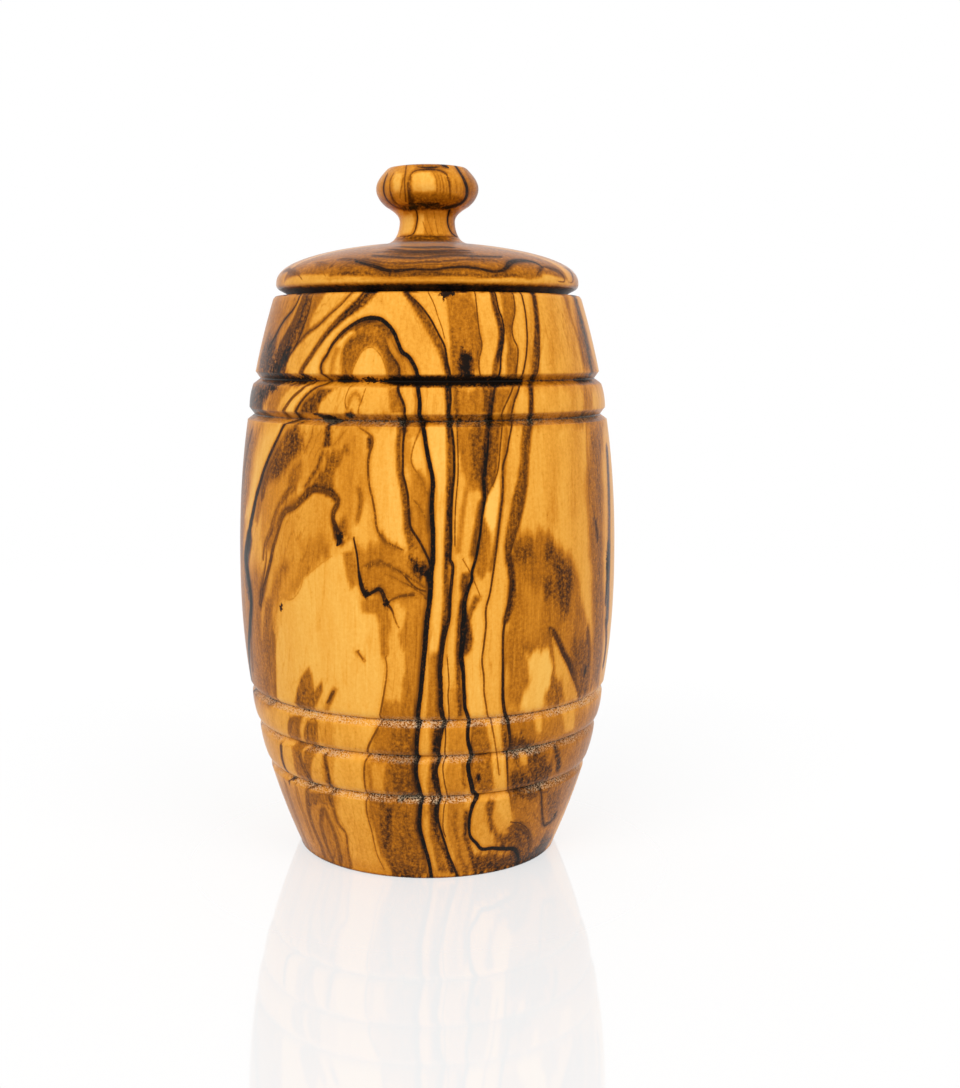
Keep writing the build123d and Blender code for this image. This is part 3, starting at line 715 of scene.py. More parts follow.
def inside_by(where, outline):
    """Signed distance to a closed outline, more than 0 inside."""
    after = np.roll(outline, -1, axis=0)
    distance = nearest_on(where, outline, after - outline)[1].min(1)
    return np.where(is_odd(where, outline, after), distance, -distance)


def inside_stroke(where, line, breadth):
    """Half the breadth less the distance to an open line; the breadth changes along it."""
    share, distance = nearest_on(where, line[:-1], np.diff(line, axis=0))
    return ((breadth[:-1] + share * np.diff(breadth)) / 2 - distance).max(1)


square = np.array([(0, 0), (4, 0), (4, 4), (0, 4)], float)
print("depth in a square, at its middle and beside it:", inside_by(np.array([(2, 2), (6, 2)]), square))


def frayed(where):
    """Places shifted by short sines: a little to the side, more along the fibres."""
    u, z = where[:, 0], where[:, 1]
    aside = 0.22 * np.sin(z / 1.9 + 2 * np.sin(u / 5)) + 0.13 * np.sin(z / 0.9 + u)
    upward = 0.45 * np.sin(u * 2.3 + np.sin(z / 6)) + 0.3 * np.sin(u * 4.7 + 2 * np.sin(z / 9))
    return np.stack([u + aside, z + (upward + 0.4 * np.sin(u * 0.9))], 1)


def tones_at(where, fields, strokes, place, stretch, upright=True):
    """Paint the fields and then the strokes over a plain tone, each with a smooth edge."""
    tone = np.full(len(where), PLAIN_TONE)
    squeeze = np.array([1, GRAIN_RUN])
    straight, loose = where, frayed(where) * squeeze
    painted = [(t, soft, None, dots) for t, soft, dots in fields] + list(strokes)
    for value, soft, breadth, dots in painted:
        dots = pairs(dots)
        shape, across = place(dots), stretch(dots)
        if upright and breadth is None and soft >= FRAYED_FROM:
            shape, where = shape * squeeze, loose
        else:
            where = straight
        soft = max(soft * across.mean(), LEAST_SOFT)
        low, high = shape.min(0) - MARGIN - soft, shape.max(0) + MARGIN + soft
        near = np.flatnonzero(((where > low) & (where < high)).all(1))
        if breadth is None:
            depth = inside_by(where[near], shape)
        else:
            depth = inside_stroke(where[near], shape, spread(breadth, len(dots)) * across)
        share = np.clip(depth / soft / 2 + 0.5, 0, 1)
        share = share * share * (3 - 2 * share)
        tone[near] += (value - tone[near]) * share
    return tone


def clouds_at(where, clouds, place, stretch):
    """Sum of amount times exp(-(u/half breadth)^2 - (z/half height)^2) over all the clouds."""
    total = np.zeros(len(where))
    dots = np.array([cloud[:2] for cloud in clouds], float)
    for (u, z), across, cloud in zip(place(dots), stretch(dots), clouds):
        half_wide = cloud[2] * across * CLOUD_SPREAD
        half_high = cloud[3] * MM_PER_DOT * CLOUD_SPREAD
        aside, up = (where[:, 0] - u) / half_wide, (where[:, 1] - z) / half_high
        total += cloud[4] * np.exp(-(aside**2) - up**2)
    return total


def barrel_stretch(dots):
    """Millimetres of wood across one dot: more towards the edge, where the wall turns away."""
    return MM_PER_DOT / np.maximum(np.cos(on_barrel(dots)[:, 0] / BELLY_RADIUS), LEAST_COSINE)


# %% [markdown]
# A drawn vein becomes a row of close samples along a smooth curve through its dots, so
# that it bends as wood grows and shows no corners at the dots.
# %% Smooth lines
def along(outline):
    """Length along an outline from its first point."""
    return np.concatenate([[0], np.cumsum(np.linalg.norm(np.diff(outline, axis=0), axis=1))])


def smooth_path(points, step):
    """Catmull-Rom curve through the points, resampled at even lengths."""
    points = np.asarray(points, float)
    padded = np.concatenate([[2 * points[0] - points[1]], points, [2 * points[-1] - points[-2]]])
    share = np.linspace(0, 1, 9)[:-1][None, :, None]
    p0, p1, p2, p3 = (padded[k : len(padded) - 3 + k][:, None, :] for k in range(4))
    bend = 2 * p0 - 5 * p1 + 4 * p2 - p3
    curve = 0.5 * (2 * p1 + (p2 - p0) * share + bend * share**2 + (3 * p1 - p0 - 3 * p2 + p3) * share**3)
    curve = np.concatenate([curve.reshape(-1, 2), points[-1:]])
    length = along(curve)
    even = np.linspace(0, length[-1], max(3, int(length[-1] / step) + 2))
    return np.stack([np.interp(even, length, curve[:, k]) for k in range(2)], 1)


def spread(value, count):
    """A single value, or values at even shares, spread over count samples."""
    value = np.atleast_1d(np.asarray(value, float))
    return np.interp(np.linspace(0, 1, count), np.linspace(0, 1, len(value)), value)


print("four samples of 1 to 4:", spread((1, 4), 4))

# %% [markdown]
# A vein that ends inside the wood comes back unseen beside itself, so that it too
# encloses a sliver of wood. Then every place on the wood is inside an even or an odd
# number of lines.
# %% Lines that enclose a sliver
SAMPLE_STEP = 0.7  # mm
UNSEEN = np.array([0, 1, 0, 0])  # an unseen stretch keeps its tone, and has no breadth and no stains
ARCH_RISE = 2.0  # mm that an arch stands above both its feet
EDGE_REACH = 2.5  # mm; a line that ends so near an edge of the wood is led on over it
OFF_WOOD = 9.0  # mm past that edge
WAY_BACK = 1.5  # mm from a line's far side to its unseen way back


def enclose(path, finish, low, high):
    """The line with its unseen part, and whether it parts the wood from edge to edge."""
    unseen = finish[-1:] * UNSEEN
    top, end, peak = path[0], path[-1], path[:, 1].max()
    is_arch = peak > max(top[1], end[1]) + ARCH_RISE
    ends_low, starts_low = end[1] < low + EDGE_REACH, top[1] < low + EDGE_REACH
    starts_high = top[1] > high - EDGE_REACH
    if (starts_high or is_arch and starts_low) and ends_low:
        away = [[top[0], high + OFF_WOOD if starts_high else low - OFF_WOOD]]
        path = np.concatenate([away, path, [[end[0], low - OFF_WOOD]]])
        return path, np.concatenate([unseen, finish, unseen]), True
    apart = np.linalg.norm(end - top)
    if is_arch and apart > EDGE_REACH:
        chord = np.linspace(end, top, max(3, int(apart / SAMPLE_STEP)))[1:]
        finish = np.concatenate([finish, np.repeat(unseen, len(chord), 0)])
        return np.concatenate([path, chord]), finish, False
    ahead = np.gradient(path, axis=0)
    ahead /= np.linalg.norm(ahead, axis=1)[:, None] + 1e-9
    side = 1.0 if finish[:, 3].mean() <= finish[:, 2].mean() else -1.0
    spare = finish[:, 3] if side > 0 else finish[:, 2]
    gap = 2 * finish[:, 0] + np.minimum(spare, 1.0) + WAY_BACK
    back = path + side * gap[:, None] * np.stack([-ahead[:, 1], ahead[:, 0]], 1)
    if starts_high:
        path, back = (np.concatenate([[[p[0, 0], high + OFF_WOOD]], p]) for p in (path, back))
        finish = np.concatenate([finish[:1] * UNSEEN, finish])
    turn = 0.96 * path[-1:] + 0.04 * back[-1:]
    finish = np.concatenate([finish, unseen, finish[::-1] * UNSEEN, finish[:1] * UNSEEN])
    return np.concatenate([path, turn, back[::-1], path[:1]]), finish, False


# %% [markdown]
# The distance to the nearest line can now change its sign exactly on the line. A signed
# distance stays sharp between the points of a mesh; a painted line would not.
# %% Signed distance to the nearest line
NEARBY = 4.0  # mm above and below a path where other lines are looked for
NO_LINE = 50.0  # mm; the distance where a layer is empty


class Sheet:
    """One layer of lines: places, and at each its half breadth, tone and both stains."""

    def __init__(self):
        self.place, self.finish = [], []

    def room(self, path):
        """Least distance from a new path to the lines already here."""
        if not self.place:
            return FAR_OFF
        laid = np.concatenate(self.place)
        laid = laid[(laid[:, 1] > path[:, 1].min() - NEARBY) & (laid[:, 1] < path[:, 1].max() + NEARBY)]
        return min([np.hypot(*(laid - spot).T).min() for spot in path[::2]]) if len(laid) else FAR_OFF

    def read(self, where, chunks=320, window=14.0):
        """Signed distance to the nearest line at each place, and that line's finish there."""
        signed, taken = np.full(len(where), NO_LINE), np.zeros((len(where), 4))
        if not self.place:
            return signed, taken
        start = np.concatenate([p[:-1] for p in self.place])
        stop = np.concatenate([p[1:] for p in self.place])
        finish = np.concatenate([(f[:-1] + f[1:]) / 2 for f in self.finish])
        long_ones = np.linalg.norm(stop - start, axis=1)
        ahead = (stop - start) / (long_ones[:, None] + 1e-9)
        middle, half_step = (start + stop) / 2, long_ones / 2
        low, high = np.minimum(start[:, 1], stop[:, 1]), np.maximum(start[:, 1], stop[:, 1])
        for part in np.array_split(np.argsort(where[:, 1], kind="stable"), chunks):
            spot = where[part]
            bottom, top = spot[:, 1].min(), spot[:, 1].max()
            near = np.flatnonzero((high > bottom - window) & (low < top + window))
            near = near if len(near) else np.arange(len(start))
            dx, dz = spot[:, 0, None] - middle[near, 0], spot[:, 1, None] - middle[near, 1]
            across = ahead[near, 0] * dz - ahead[near, 1] * dx
            beyond = np.abs(ahead[near, 0] * dx + ahead[near, 1] * dz) - half_step[near]
            distance = across**2 + np.maximum(beyond, 0) ** 2
            nearest = distance.argmin(1)
            rows = np.arange(len(spot))
            reach = np.flatnonzero((high >= bottom) & (low <= top))
            sign = np.where(is_odd(spot, start[reach], stop[reach]), -1.0, 1.0)
            picked = finish[near[nearest]]
            first_side = across[rows, nearest] < 0
            swap = first_side != (sign > 0)
            taken[part] = np.where(swap[:, None], picked[:, [0, 1, 3, 2]], picked)
            signed[part] = sign * np.sqrt(distance[rows, nearest])
        return signed, taken


# %% [markdown]
# Lines that stand too close for that share the wood as four layers, like clear sheets.
# %% Four layers of veins
LAYERS = 4
CLEARANCE = 1.5  # mm from a new line to the others of its layer


class Veins:
    """Four layers: lines from edge to edge share the first, others go to the first with room."""

    def __init__(self, low, high):
        self.low, self.high = low, high
        self.sheets = [Sheet() for _ in range(LAYERS)]

    def add(self, tone, breadth, first, second, path, across=1.0):
        share = along(path) / along(path)[-1]
        path = smooth_path(path, SAMPLE_STEP)
        count = len(path)
        finish = np.stack([spread(value, count) for value in (breadth, tone, first, second)], 1)
        finish[:, 0] /= 2
        across = np.interp(np.linspace(0, 1, count), share, np.broadcast_to(across, share.shape))
        finish[:, [0, 2, 3]] *= across[:, None]
        path, finish, through = enclose(path, finish, self.low, self.high)
        rooms = [sheet.room(path) for sheet in self.sheets[1:]]
        fits = [number for number, room in enumerate(rooms, 1) if room > CLEARANCE]
        choice = 0 if through else fits[0] if fits else 1 + int(np.argmax(rooms))
        self.sheets[choice].place.append(path)
        self.sheets[choice].finish.append(finish)

    def add_drawn(self, drawn, place, stretch):
        for tone, breadth, *stains, dots in drawn:
            dots = pairs(dots)
            self.add(tone, breadth, *(stains or (0, 0)), place(dots), stretch(dots))


def is_thin(stroke):
    """A stroke too thin to be painted between the points of the mesh is laid as a vein."""
    return np.max(stroke[2]) <= 3


barrel_veins = Veins(0.0, BODY_HEIGHT)
barrel_veins.add_drawn(BARREL_VEINS, on_barrel, barrel_stretch)
thin_strokes = [(tone, wide, dots) for tone, _, wide, dots in filter(is_thin, BARREL_STROKES)]
barrel_veins.add_drawn(thin_strokes, on_barrel, barrel_stretch)
print("lines in each layer:", [len(sheet.place) for sheet in barrel_veins.sheets])

# %% [markdown]
# The sides and the back are never seen from the front, but the growth goes on round
# them. There the veins follow a formula: upright lines that bow and waver, with one
# group of nested arches where the saw met the rings flat.
# %% Veins round the back
HALF_ROUND = np.pi * BELLY_RADIUS
# turn from the front in degrees, bow in mm, breadth in mm, blackness, stains in mm
BACK_VEINS = [
    (-163, 3.0, 0.8, 0.9, 1.6, 0.3), (-148, 2.0, 0.3, 0.7, 0.8, 0), (-137, -1.0, 1.1, 1.0, 2.2, 0.5),
    (-124, -2.5, 0.35, 0.6, 0.5, 0.8), (-112, -4.0, 0.7, 0.9, 0.4, 2.5), (-97, -3.5, 0.3, 0.6, 0, 1.0),
    (-84, -3.0, 0.6, 0.9, 1.0, 0.4), (84, 2.0, 0.7, 0.9, 0.5, 1.8), (96, 2.5, 0.3, 0.6, 0, 0.7),
    (107, 4.0, 0.9, 1.0, 2.0, 0.4), (119, 3.5, 0.35, 0.6, 0.8, 0.4), (171, 4.0, 0.5, 0.8, 1.2, 0.2),
]
# turn, peak and half width in mm, breadth, blackness, inner stain
BACK_ARCHES = [
    (141, 101.0, 12.5, 0.7, 0.95, 1.6), (142, 88.0, 8.6, 0.35, 0.7, 0.6), (143, 70.0, 5.6, 0.9, 0.9, 1.8),
]


def waver(z, seed):
    """Three sines of the height with seeded lengths and starts, under 1.3 mm in all."""
    rng = np.random.default_rng(seed)
    lengths, starts = rng.uniform([16, 7, 3], [26, 11, 4.5]), rng.uniform(0, 6.28, 3)
    return (np.sin(z[:, None] / lengths * 2.2 + starts) * [0.75, 0.35, 0.16]).sum(1)


# turn and height of the middle in degrees and mm, half widths in degrees and mm, tone
BACK_FIELDS = [
    (-158, 66, 4, 80, 0.5), (-128, 88, 5, 26, 0.62), (-130, 30, 4, 22, 0.5), (-105, 60, 4.5, 70, 0.46),
    (-92, 98, 4, 18, 0.66), (-90, 40, 3.5, 26, 0.52), (88, 60, 3.5, 70, 0.52), (101, 84, 5, 22, 0.66),
    (103, 26, 4.5, 20, 0.55), (113, 56, 3.5, 60, 0.44), (141, 66, 4, 40, 0.56), (141, 20, 6, 16, 0.5),
    (156, 92, 6, 24, 0.44), (164, 40, 5, 30, 0.6), (176, 70, 4, 60, 0.48),
]


def back_tone(where, tone):
    """Smoky fields with frayed ends where the drawn ones stop, strongest in their middle."""
    loose = frayed(where)
    for turn, height, half_turn, half_height, value in BACK_FIELDS:
        aside = loose[:, 0] - turn / 180 * HALF_ROUND + 1.5 * np.sin(where[:, 1] / 11 + turn)
        aside, up = aside / (half_turn / 180 * HALF_ROUND), (loose[:, 1] - height) / half_height
        share = np.clip(1.6 - 1.6 * np.hypot(aside, up) ** 2, 0, 1)
        tone += (value - tone) * share
    return tone


PICTURE_EDGE, FADE_OUT = 58.0, 14.0  # arc in mm from the front to the outline, and on to plain wood


def round_the_side(where):
    """Past the outline the drawn tones run back like a mirror; also the share that is left of them."""
    u = np.abs(where[:, 0])
    beyond = np.maximum(u - PICTURE_EDGE, 0)
    folded = np.sign(where[:, 0]) * (u - 2 * beyond)
    return np.stack([folded, where[:, 1]], 1), np.clip(1 - beyond / FADE_OUT, 0, 1)


def add_back(veins):
    z = np.linspace(BODY_HEIGHT + 1, -1, 62)
    for number, (turn, bow, breadth, black, first, second) in enumerate(BACK_VEINS):
        u = turn / 180 * HALF_ROUND + bow * (1 - ((z - 60) / 62) ** 2) + waver(z, 40 + number)
        swelling = breadth * (1 + 0.5 * waver(z[::6], 60 + number))
        veins.add(black, swelling, first, second, np.stack([u, z], 1))
    for number, (turn, peak, wide, breadth, black, stain) in enumerate(BACK_ARCHES):
        t = np.linspace(-1, 1, 61)
        z = peak - (peak + 1) * np.abs(t) ** 2.2
        u = turn / 180 * HALF_ROUND + wide * np.sign(t) * np.abs(t) ** 0.75
        u += 0.8 * waver(z + 40 * t, 80 + number)
        veins.add(black, breadth * (1 + 0.4 * waver(z[::5], 90 + number)), stain, 0, np.stack([u, z], 1))


add_back(barrel_veins)
print("with the back:", [len(sheet.place) for sheet in barrel_veins.sheets])

# %% [markdown]
# Now every point of the mesh reads the veins. In a groove the cutter has gone deeper
# into the block and meets each growth layer a little further along, so there the
# pattern is read beside the point: this makes the small jogs where veins cross a cut.
# On the foot and on the floor of the hollow the veins fade and the end grain takes over.
# %% Where each mesh point lies on the sheet
END_INSET = 0.3  # mm; the pattern is read this far inside both ends of the block
SLIDE, LEFT_SLIDE = 0.5, 1.7  # mm aside for each mm of a cut's depth, and more on the left
LEFT_FROM, LEFT_BLEND = -24.0, 4.0  # mm of arc where that left side begins, and how softly
CORE_RADIUS, CORE_BLEND = 27.5, 4.0  # mm from the axis within which end grain shows


def barrel_sheet(points):
    """Arc at the belly and height of each point, with the groove shift, and how much is end grain."""
    radius = np.hypot(points[:, 0], points[:, 1])
    u = np.arctan2(points[:, 0], -points[:, 1]) * BELLY_RADIUS
    z = np.clip(points[:, 2], END_INSET, BODY_HEIGHT - END_INSET)
    outside = (points[:, 2] > 0.05) & (radius > MOUTH_RADIUS + 0.5) & (points[:, 2] < BODY_HEIGHT - 0.65)
    depth = np.where(outside, barrel_radius(points[:, 2]) - radius, 0)
    slide = SLIDE + LEFT_SLIDE / (1 + np.exp((u - LEFT_FROM) / LEFT_BLEND))
    u = np.where(outside, u - slide * depth, u)
    flat = (points[:, 2] < 0.01) | (points[:, 2] < FLOOR_THICKNESS + 0.01) & (radius < MOUTH_RADIUS)
    end_grain = np.where(flat, np.clip((CORE_RADIUS - radius) / CORE_BLEND, 0, 1), 0)
    rim = (points[:, 2] > BODY_HEIGHT - 0.2) & (radius > MOUTH_RADIUS)
    return np.stack([u, z], 1), end_grain, np.clip(end_grain + rim, 0, 1)


sheet, fade, end_grain = barrel_sheet(pot_points)
print("sheet from", sheet.min(0).round(1), "to", sheet.max(0).round(1), "mm")

# %% [markdown]
# Flanks turn brown in the shoulder's cuts, every valley has a dark line of painted shade,
# and painted shade darkens the outside step by step towards the base, ending in a painted
# contact shadow along its edge. Pale specks on the flanks are partly chalk, where the cutter
# tore the fibres and the oil left them dry, and partly a painted highlight where a flank
# faces up: on the flank below each valley of the foot, and half as much on the one above.
# Both follow from the profile, so nothing is drawn here.
# %% Painted shade, chalk and painted highlight of the cuts
# painted shade: darker step by step towards the base, the last 0.8 mm a painted contact shadow
PAINTED_SHADE_TO_BASE = [(0.1, 45.0), (0.1, 4.0), (0.3, 0.8)]  # tone at the base, and mm up to where it ends
# the foot's flanks are a little lighter, partly as painted highlight; the valley line is painted shade in
# the crease
SHOULDER_FLANK, FOOT_FLANK, VALLEY_PAINTED_SHADE = 0.2, -0.04, 0.3  # tones


def cut_tones_and_painted_shade(points):
    """What the outside's tone gains by painted shade towards the base and in the valleys, and by the flanks
    of the cuts, and its share of chalk and painted highlight.
    """
    height = points[:, 2]
    shade = sum(tone * np.clip(1 - height / reach, 0, 1) for tone, reach in PAINTED_SHADE_TO_BASE)
    chalk_and_highlight = np.zeros(len(points))
    for valley, _, above, below in FOOT_CUTS + SHOULDER_CUTS:
        up = height - valley
        share = np.clip(1 - np.where(up > 0, up / above, -up / below), 0, 1)
        on_foot, flank = valley < BELLY_HEIGHT, np.clip(share * 4, 0, 1)
        flank_tone = FOOT_FLANK if on_foot else SHOULDER_FLANK
        # flank tones, and a line of painted shade in each valley
        shade += flank_tone * flank + VALLEY_PAINTED_SHADE * np.clip(share * 5 - 4, 0, 1)
        # chalk and painted highlight, strongest on the up-facing flank below each valley of the foot
        dry_and_lit = 1.0 if on_foot else 0.3 if valley == SHOULDER_CUTS[0][0] else 0.0
        chalk_and_highlight += dry_and_lit * flank * np.where(up > 0, 0.5, 1)
    outside = (np.hypot(points[:, 0], points[:, 1]) > MOUTH_RADIUS + 0.5) & (height > 0.001)
    return np.where(outside, shade, 0), np.where(outside, chalk_and_highlight, 0)


shade, chalk_and_highlight = cut_tones_and_painted_shade(pot_points)
print("darkest cut:", shade.max().round(2), "points with chalk:", np.count_nonzero(chalk_and_highlight))

# %% [markdown]
# A mesh keeps one number per point under a name, and the shader reads it back by that
# name, even and smooth between the points. The drawn fields run on past the outline like
# in a mirror and fade there, so that the front has no visible border.
# %% Figure of the barrel
def keep(piece, name, values):
    data = piece.data.attributes.new(name, "FLOAT", "POINT").data
    data.foreach_set("value", np.ascontiguousarray(values, np.float32))


def figure(piece, veins, sheet, fade, end_grain, tone, char, chalk_and_highlight):
    for number, layer in enumerate(veins.sheets, 1):
        signed, finish = layer.read(sheet)
        keep(piece, f"edge_{number}", signed)
        keep(piece, f"half_{number}", finish[:, 0] * (1 - fade))
        keep(piece, f"ink_{number}", finish[:, 1])
        if number == 1:
            keep(piece, "plus", finish[:, 2])
            keep(piece, "minus", finish[:, 3])
    keep(piece, "tone", tone)
    keep(piece, "char", char)
    keep(piece, "chalk_and_highlight", chalk_and_highlight)
    keep(piece, "end_grain", end_grain)
    print(piece.name, "points:", len(sheet), "tone from", round(tone.min(), 2), "to", round(tone.max(), 2))


broad_strokes = [stroke for stroke in BARREL_STROKES if not is_thin(stroke)]
folded, share = round_the_side(sheet)
tone = tones_at(folded, BARREL_FIELDS, broad_strokes, on_barrel, barrel_stretch)
tone = back_tone(sheet, PLAIN_TONE + (tone - PLAIN_TONE) * share)
# the drawn tone gains the flank tones and the painted shade of the cuts and the base
figure(pot, barrel_veins, sheet, fade, end_grain, tone + shade,
       clouds_at(sheet, BARREL_CHAR, on_barrel, barrel_stretch), chalk_and_highlight)

# %% [markdown]
# The lid and the knob are turned from other blocks. Their profiles are the same kind of
# curve: a superellipse dome with a flare up to the joint, and a waisted neck under a
# rounded head with an almost flat top.
# %% Lid and knob profiles
LID_RADIUS, SEAT_INSET, RELIEF_ANGLE, LID_EDGE_ROUND = 32.9, 3.2, 27.0, 1.4
DOME_RISE, DOME_BREADTH, DOME_SHOULDER = 9.2, 1.62, 2.4
SPIGOT_CLEARANCE, SPIGOT_DEPTH, SPIGOT_CHAMFER = 0.5, 6.0, 0.8
FLARE_RADIUS, FLARE_RISE, FLARE_ANGLE = 12.5, 1.75, 58.0
NECK_FOOT_RADIUS, NECK_RADIUS, NECK_HEIGHT = 6.95, 6.0, 3.5
HEAD_UNDER_RADIUS, HEAD_UNDER_HEIGHT, HEAD_UNDER_ANGLE = 8.5, 6.4, 30.0
HEAD_RADIUS, HEAD_HEIGHT = 11.1, 10.4
CROWN_RADIUS, CROWN_HEIGHT, CROWN_ANGLE, CROWN_SWELL = 8.4, 14.8, 135.0, 0.5
LID_COLUMNS, KNOB_COLUMNS = 384, 256
RELIEF = np.radians(RELIEF_ANGLE)
EDGE_RUN = SEAT_INSET - LID_EDGE_ROUND
EDGE_LEVEL = (LID_EDGE_ROUND + EDGE_RUN * np.sin(RELIEF)) / np.cos(RELIEF)


def dome_height(radius):
    """Widest line plus a superellipse of the lid's radius, above the seat."""
    fall = np.maximum(1 - (radius / LID_RADIUS) ** DOME_BREADTH, 0)
    return EDGE_LEVEL + DOME_RISE * fall ** (1 / DOME_SHOULDER)


JOINT_HEIGHT = dome_height(FLARE_RADIUS) + FLARE_RISE


def bow(start, stop, leave, arrive, count):
    """Cubic Hermite curve between two points; leave and arrive are its slopes in degrees."""
    start, stop = np.array(start, float), np.array(stop, float)
    span = np.linalg.norm(stop - start)
    out = span * np.array([np.cos(np.radians(leave)), np.sin(np.radians(leave))])
    into = span * np.array([np.cos(np.radians(arrive)), np.sin(np.radians(arrive))])
    t = np.linspace(0, 1, count)[:, None]
    ends = (2 * t**3 - 3 * t**2 + 1) * start + (3 * t**2 - 2 * t**3) * stop
    return ends + (t**3 - 2 * t**2 + t) * out + (t**3 - t**2) * into


def lid_profile():
    """Underside from the axis out, round the edge, over the dome and up the flare to the axis."""
    spigot, seat = MOUTH_RADIUS - SPIGOT_CLEARANCE, LID_RADIUS - SEAT_INSET
    bottom = np.linspace(0, spigot - SPIGOT_CHAMFER, 9)
    under = [np.stack([bottom, np.full(9, -SPIGOT_DEPTH)], 1)]
    spigot_heights = np.linspace(-SPIGOT_DEPTH + SPIGOT_CHAMFER, -0.15, 8)
    under.append(np.stack([np.full(8, spigot), spigot_heights], 1))
    seat_radii = np.linspace(spigot + 0.02, seat, 5)
    under.append(np.stack([seat_radii, np.zeros(5)], 1))
    centre = (LID_RADIUS - LID_EDGE_ROUND, EDGE_LEVEL)
    relief_end = np.array(centre) + LID_EDGE_ROUND * np.array([np.sin(RELIEF), -np.cos(RELIEF)])
    under.append(np.linspace([seat, 0], relief_end, 7)[1:-1])
    under.append(arc(centre, LID_EDGE_ROUND, -90 + RELIEF_ANGLE, 0, 9))
    turn = np.linspace(0, 90, 72)[1:]
    radii = FLARE_RADIUS + (LID_RADIUS - FLARE_RADIUS) * np.cos(np.radians(turn))
    dome = np.stack([radii, dome_height(radii)], 1)
    step = dome_height(FLARE_RADIUS - 0.05) - dome_height(FLARE_RADIUS + 0.05)
    leave = 180 - np.degrees(np.arctan2(step, 0.1))
    flare = bow(dome[-1], (NECK_FOOT_RADIUS, JOINT_HEIGHT), leave, 180 - FLARE_ANGLE, 14)[1:]
    land = np.stack([np.linspace(NECK_FOOT_RADIUS - 0.3, 0, 5), np.full(5, JOINT_HEIGHT)], 1)
    return np.concatenate(under + [dome, flare, land]) + [0, BODY_HEIGHT]


def knob_profile():
    """Foot of the neck, waist, round head, broken edge of the crown and its slight swell."""
    foot = np.stack([np.linspace(0, NECK_FOOT_RADIUS - 0.2, 5), np.zeros(5)], 1)
    waist = bow((NECK_FOOT_RADIUS, 0), (NECK_RADIUS, NECK_HEIGHT), 180 - FLARE_ANGLE, 90, 16)
    under = bow(waist[-1], (HEAD_UNDER_RADIUS, HEAD_UNDER_HEIGHT), 90, HEAD_UNDER_ANGLE, 14)[1:]
    round_low = bow(under[-1], (HEAD_RADIUS, HEAD_HEIGHT), HEAD_UNDER_ANGLE, 90, 18)[1:]
    crown = (CROWN_RADIUS + 0.25, CROWN_HEIGHT - 0.25)
    round_high = bow(round_low[-1], crown, 90, CROWN_ANGLE, 20)[1:]
    edge = np.array([[CROWN_RADIUS - 0.02, CROWN_HEIGHT - 0.07], [CROWN_RADIUS - 0.45, CROWN_HEIGHT + 0.02]])
    radii = np.linspace(CROWN_RADIUS - 0.9, 0, 12)
    top = np.stack([radii, CROWN_HEIGHT + CROWN_SWELL * (1 - (radii / CROWN_RADIUS) ** 2)], 1)
    parts = [foot, waist, under, round_low, round_high, edge, top]
    return np.concatenate(parts) + [0, BODY_HEIGHT + JOINT_HEIGHT]


lid_outline, knob_outline = lid_profile(), knob_profile()
lid, lid_points = spin("lid_dome", lid_outline, LID_COLUMNS)
knob, knob_points = spin("knob_turned", knob_outline, KNOB_COLUMNS)
print("lid from", lid_outline[:, 1].min().round(2), "to", lid_outline[:, 1].max().round(2))
print("knob from", knob_outline[:, 1].min().round(2), "to", knob_outline[:, 1].max().round(2))

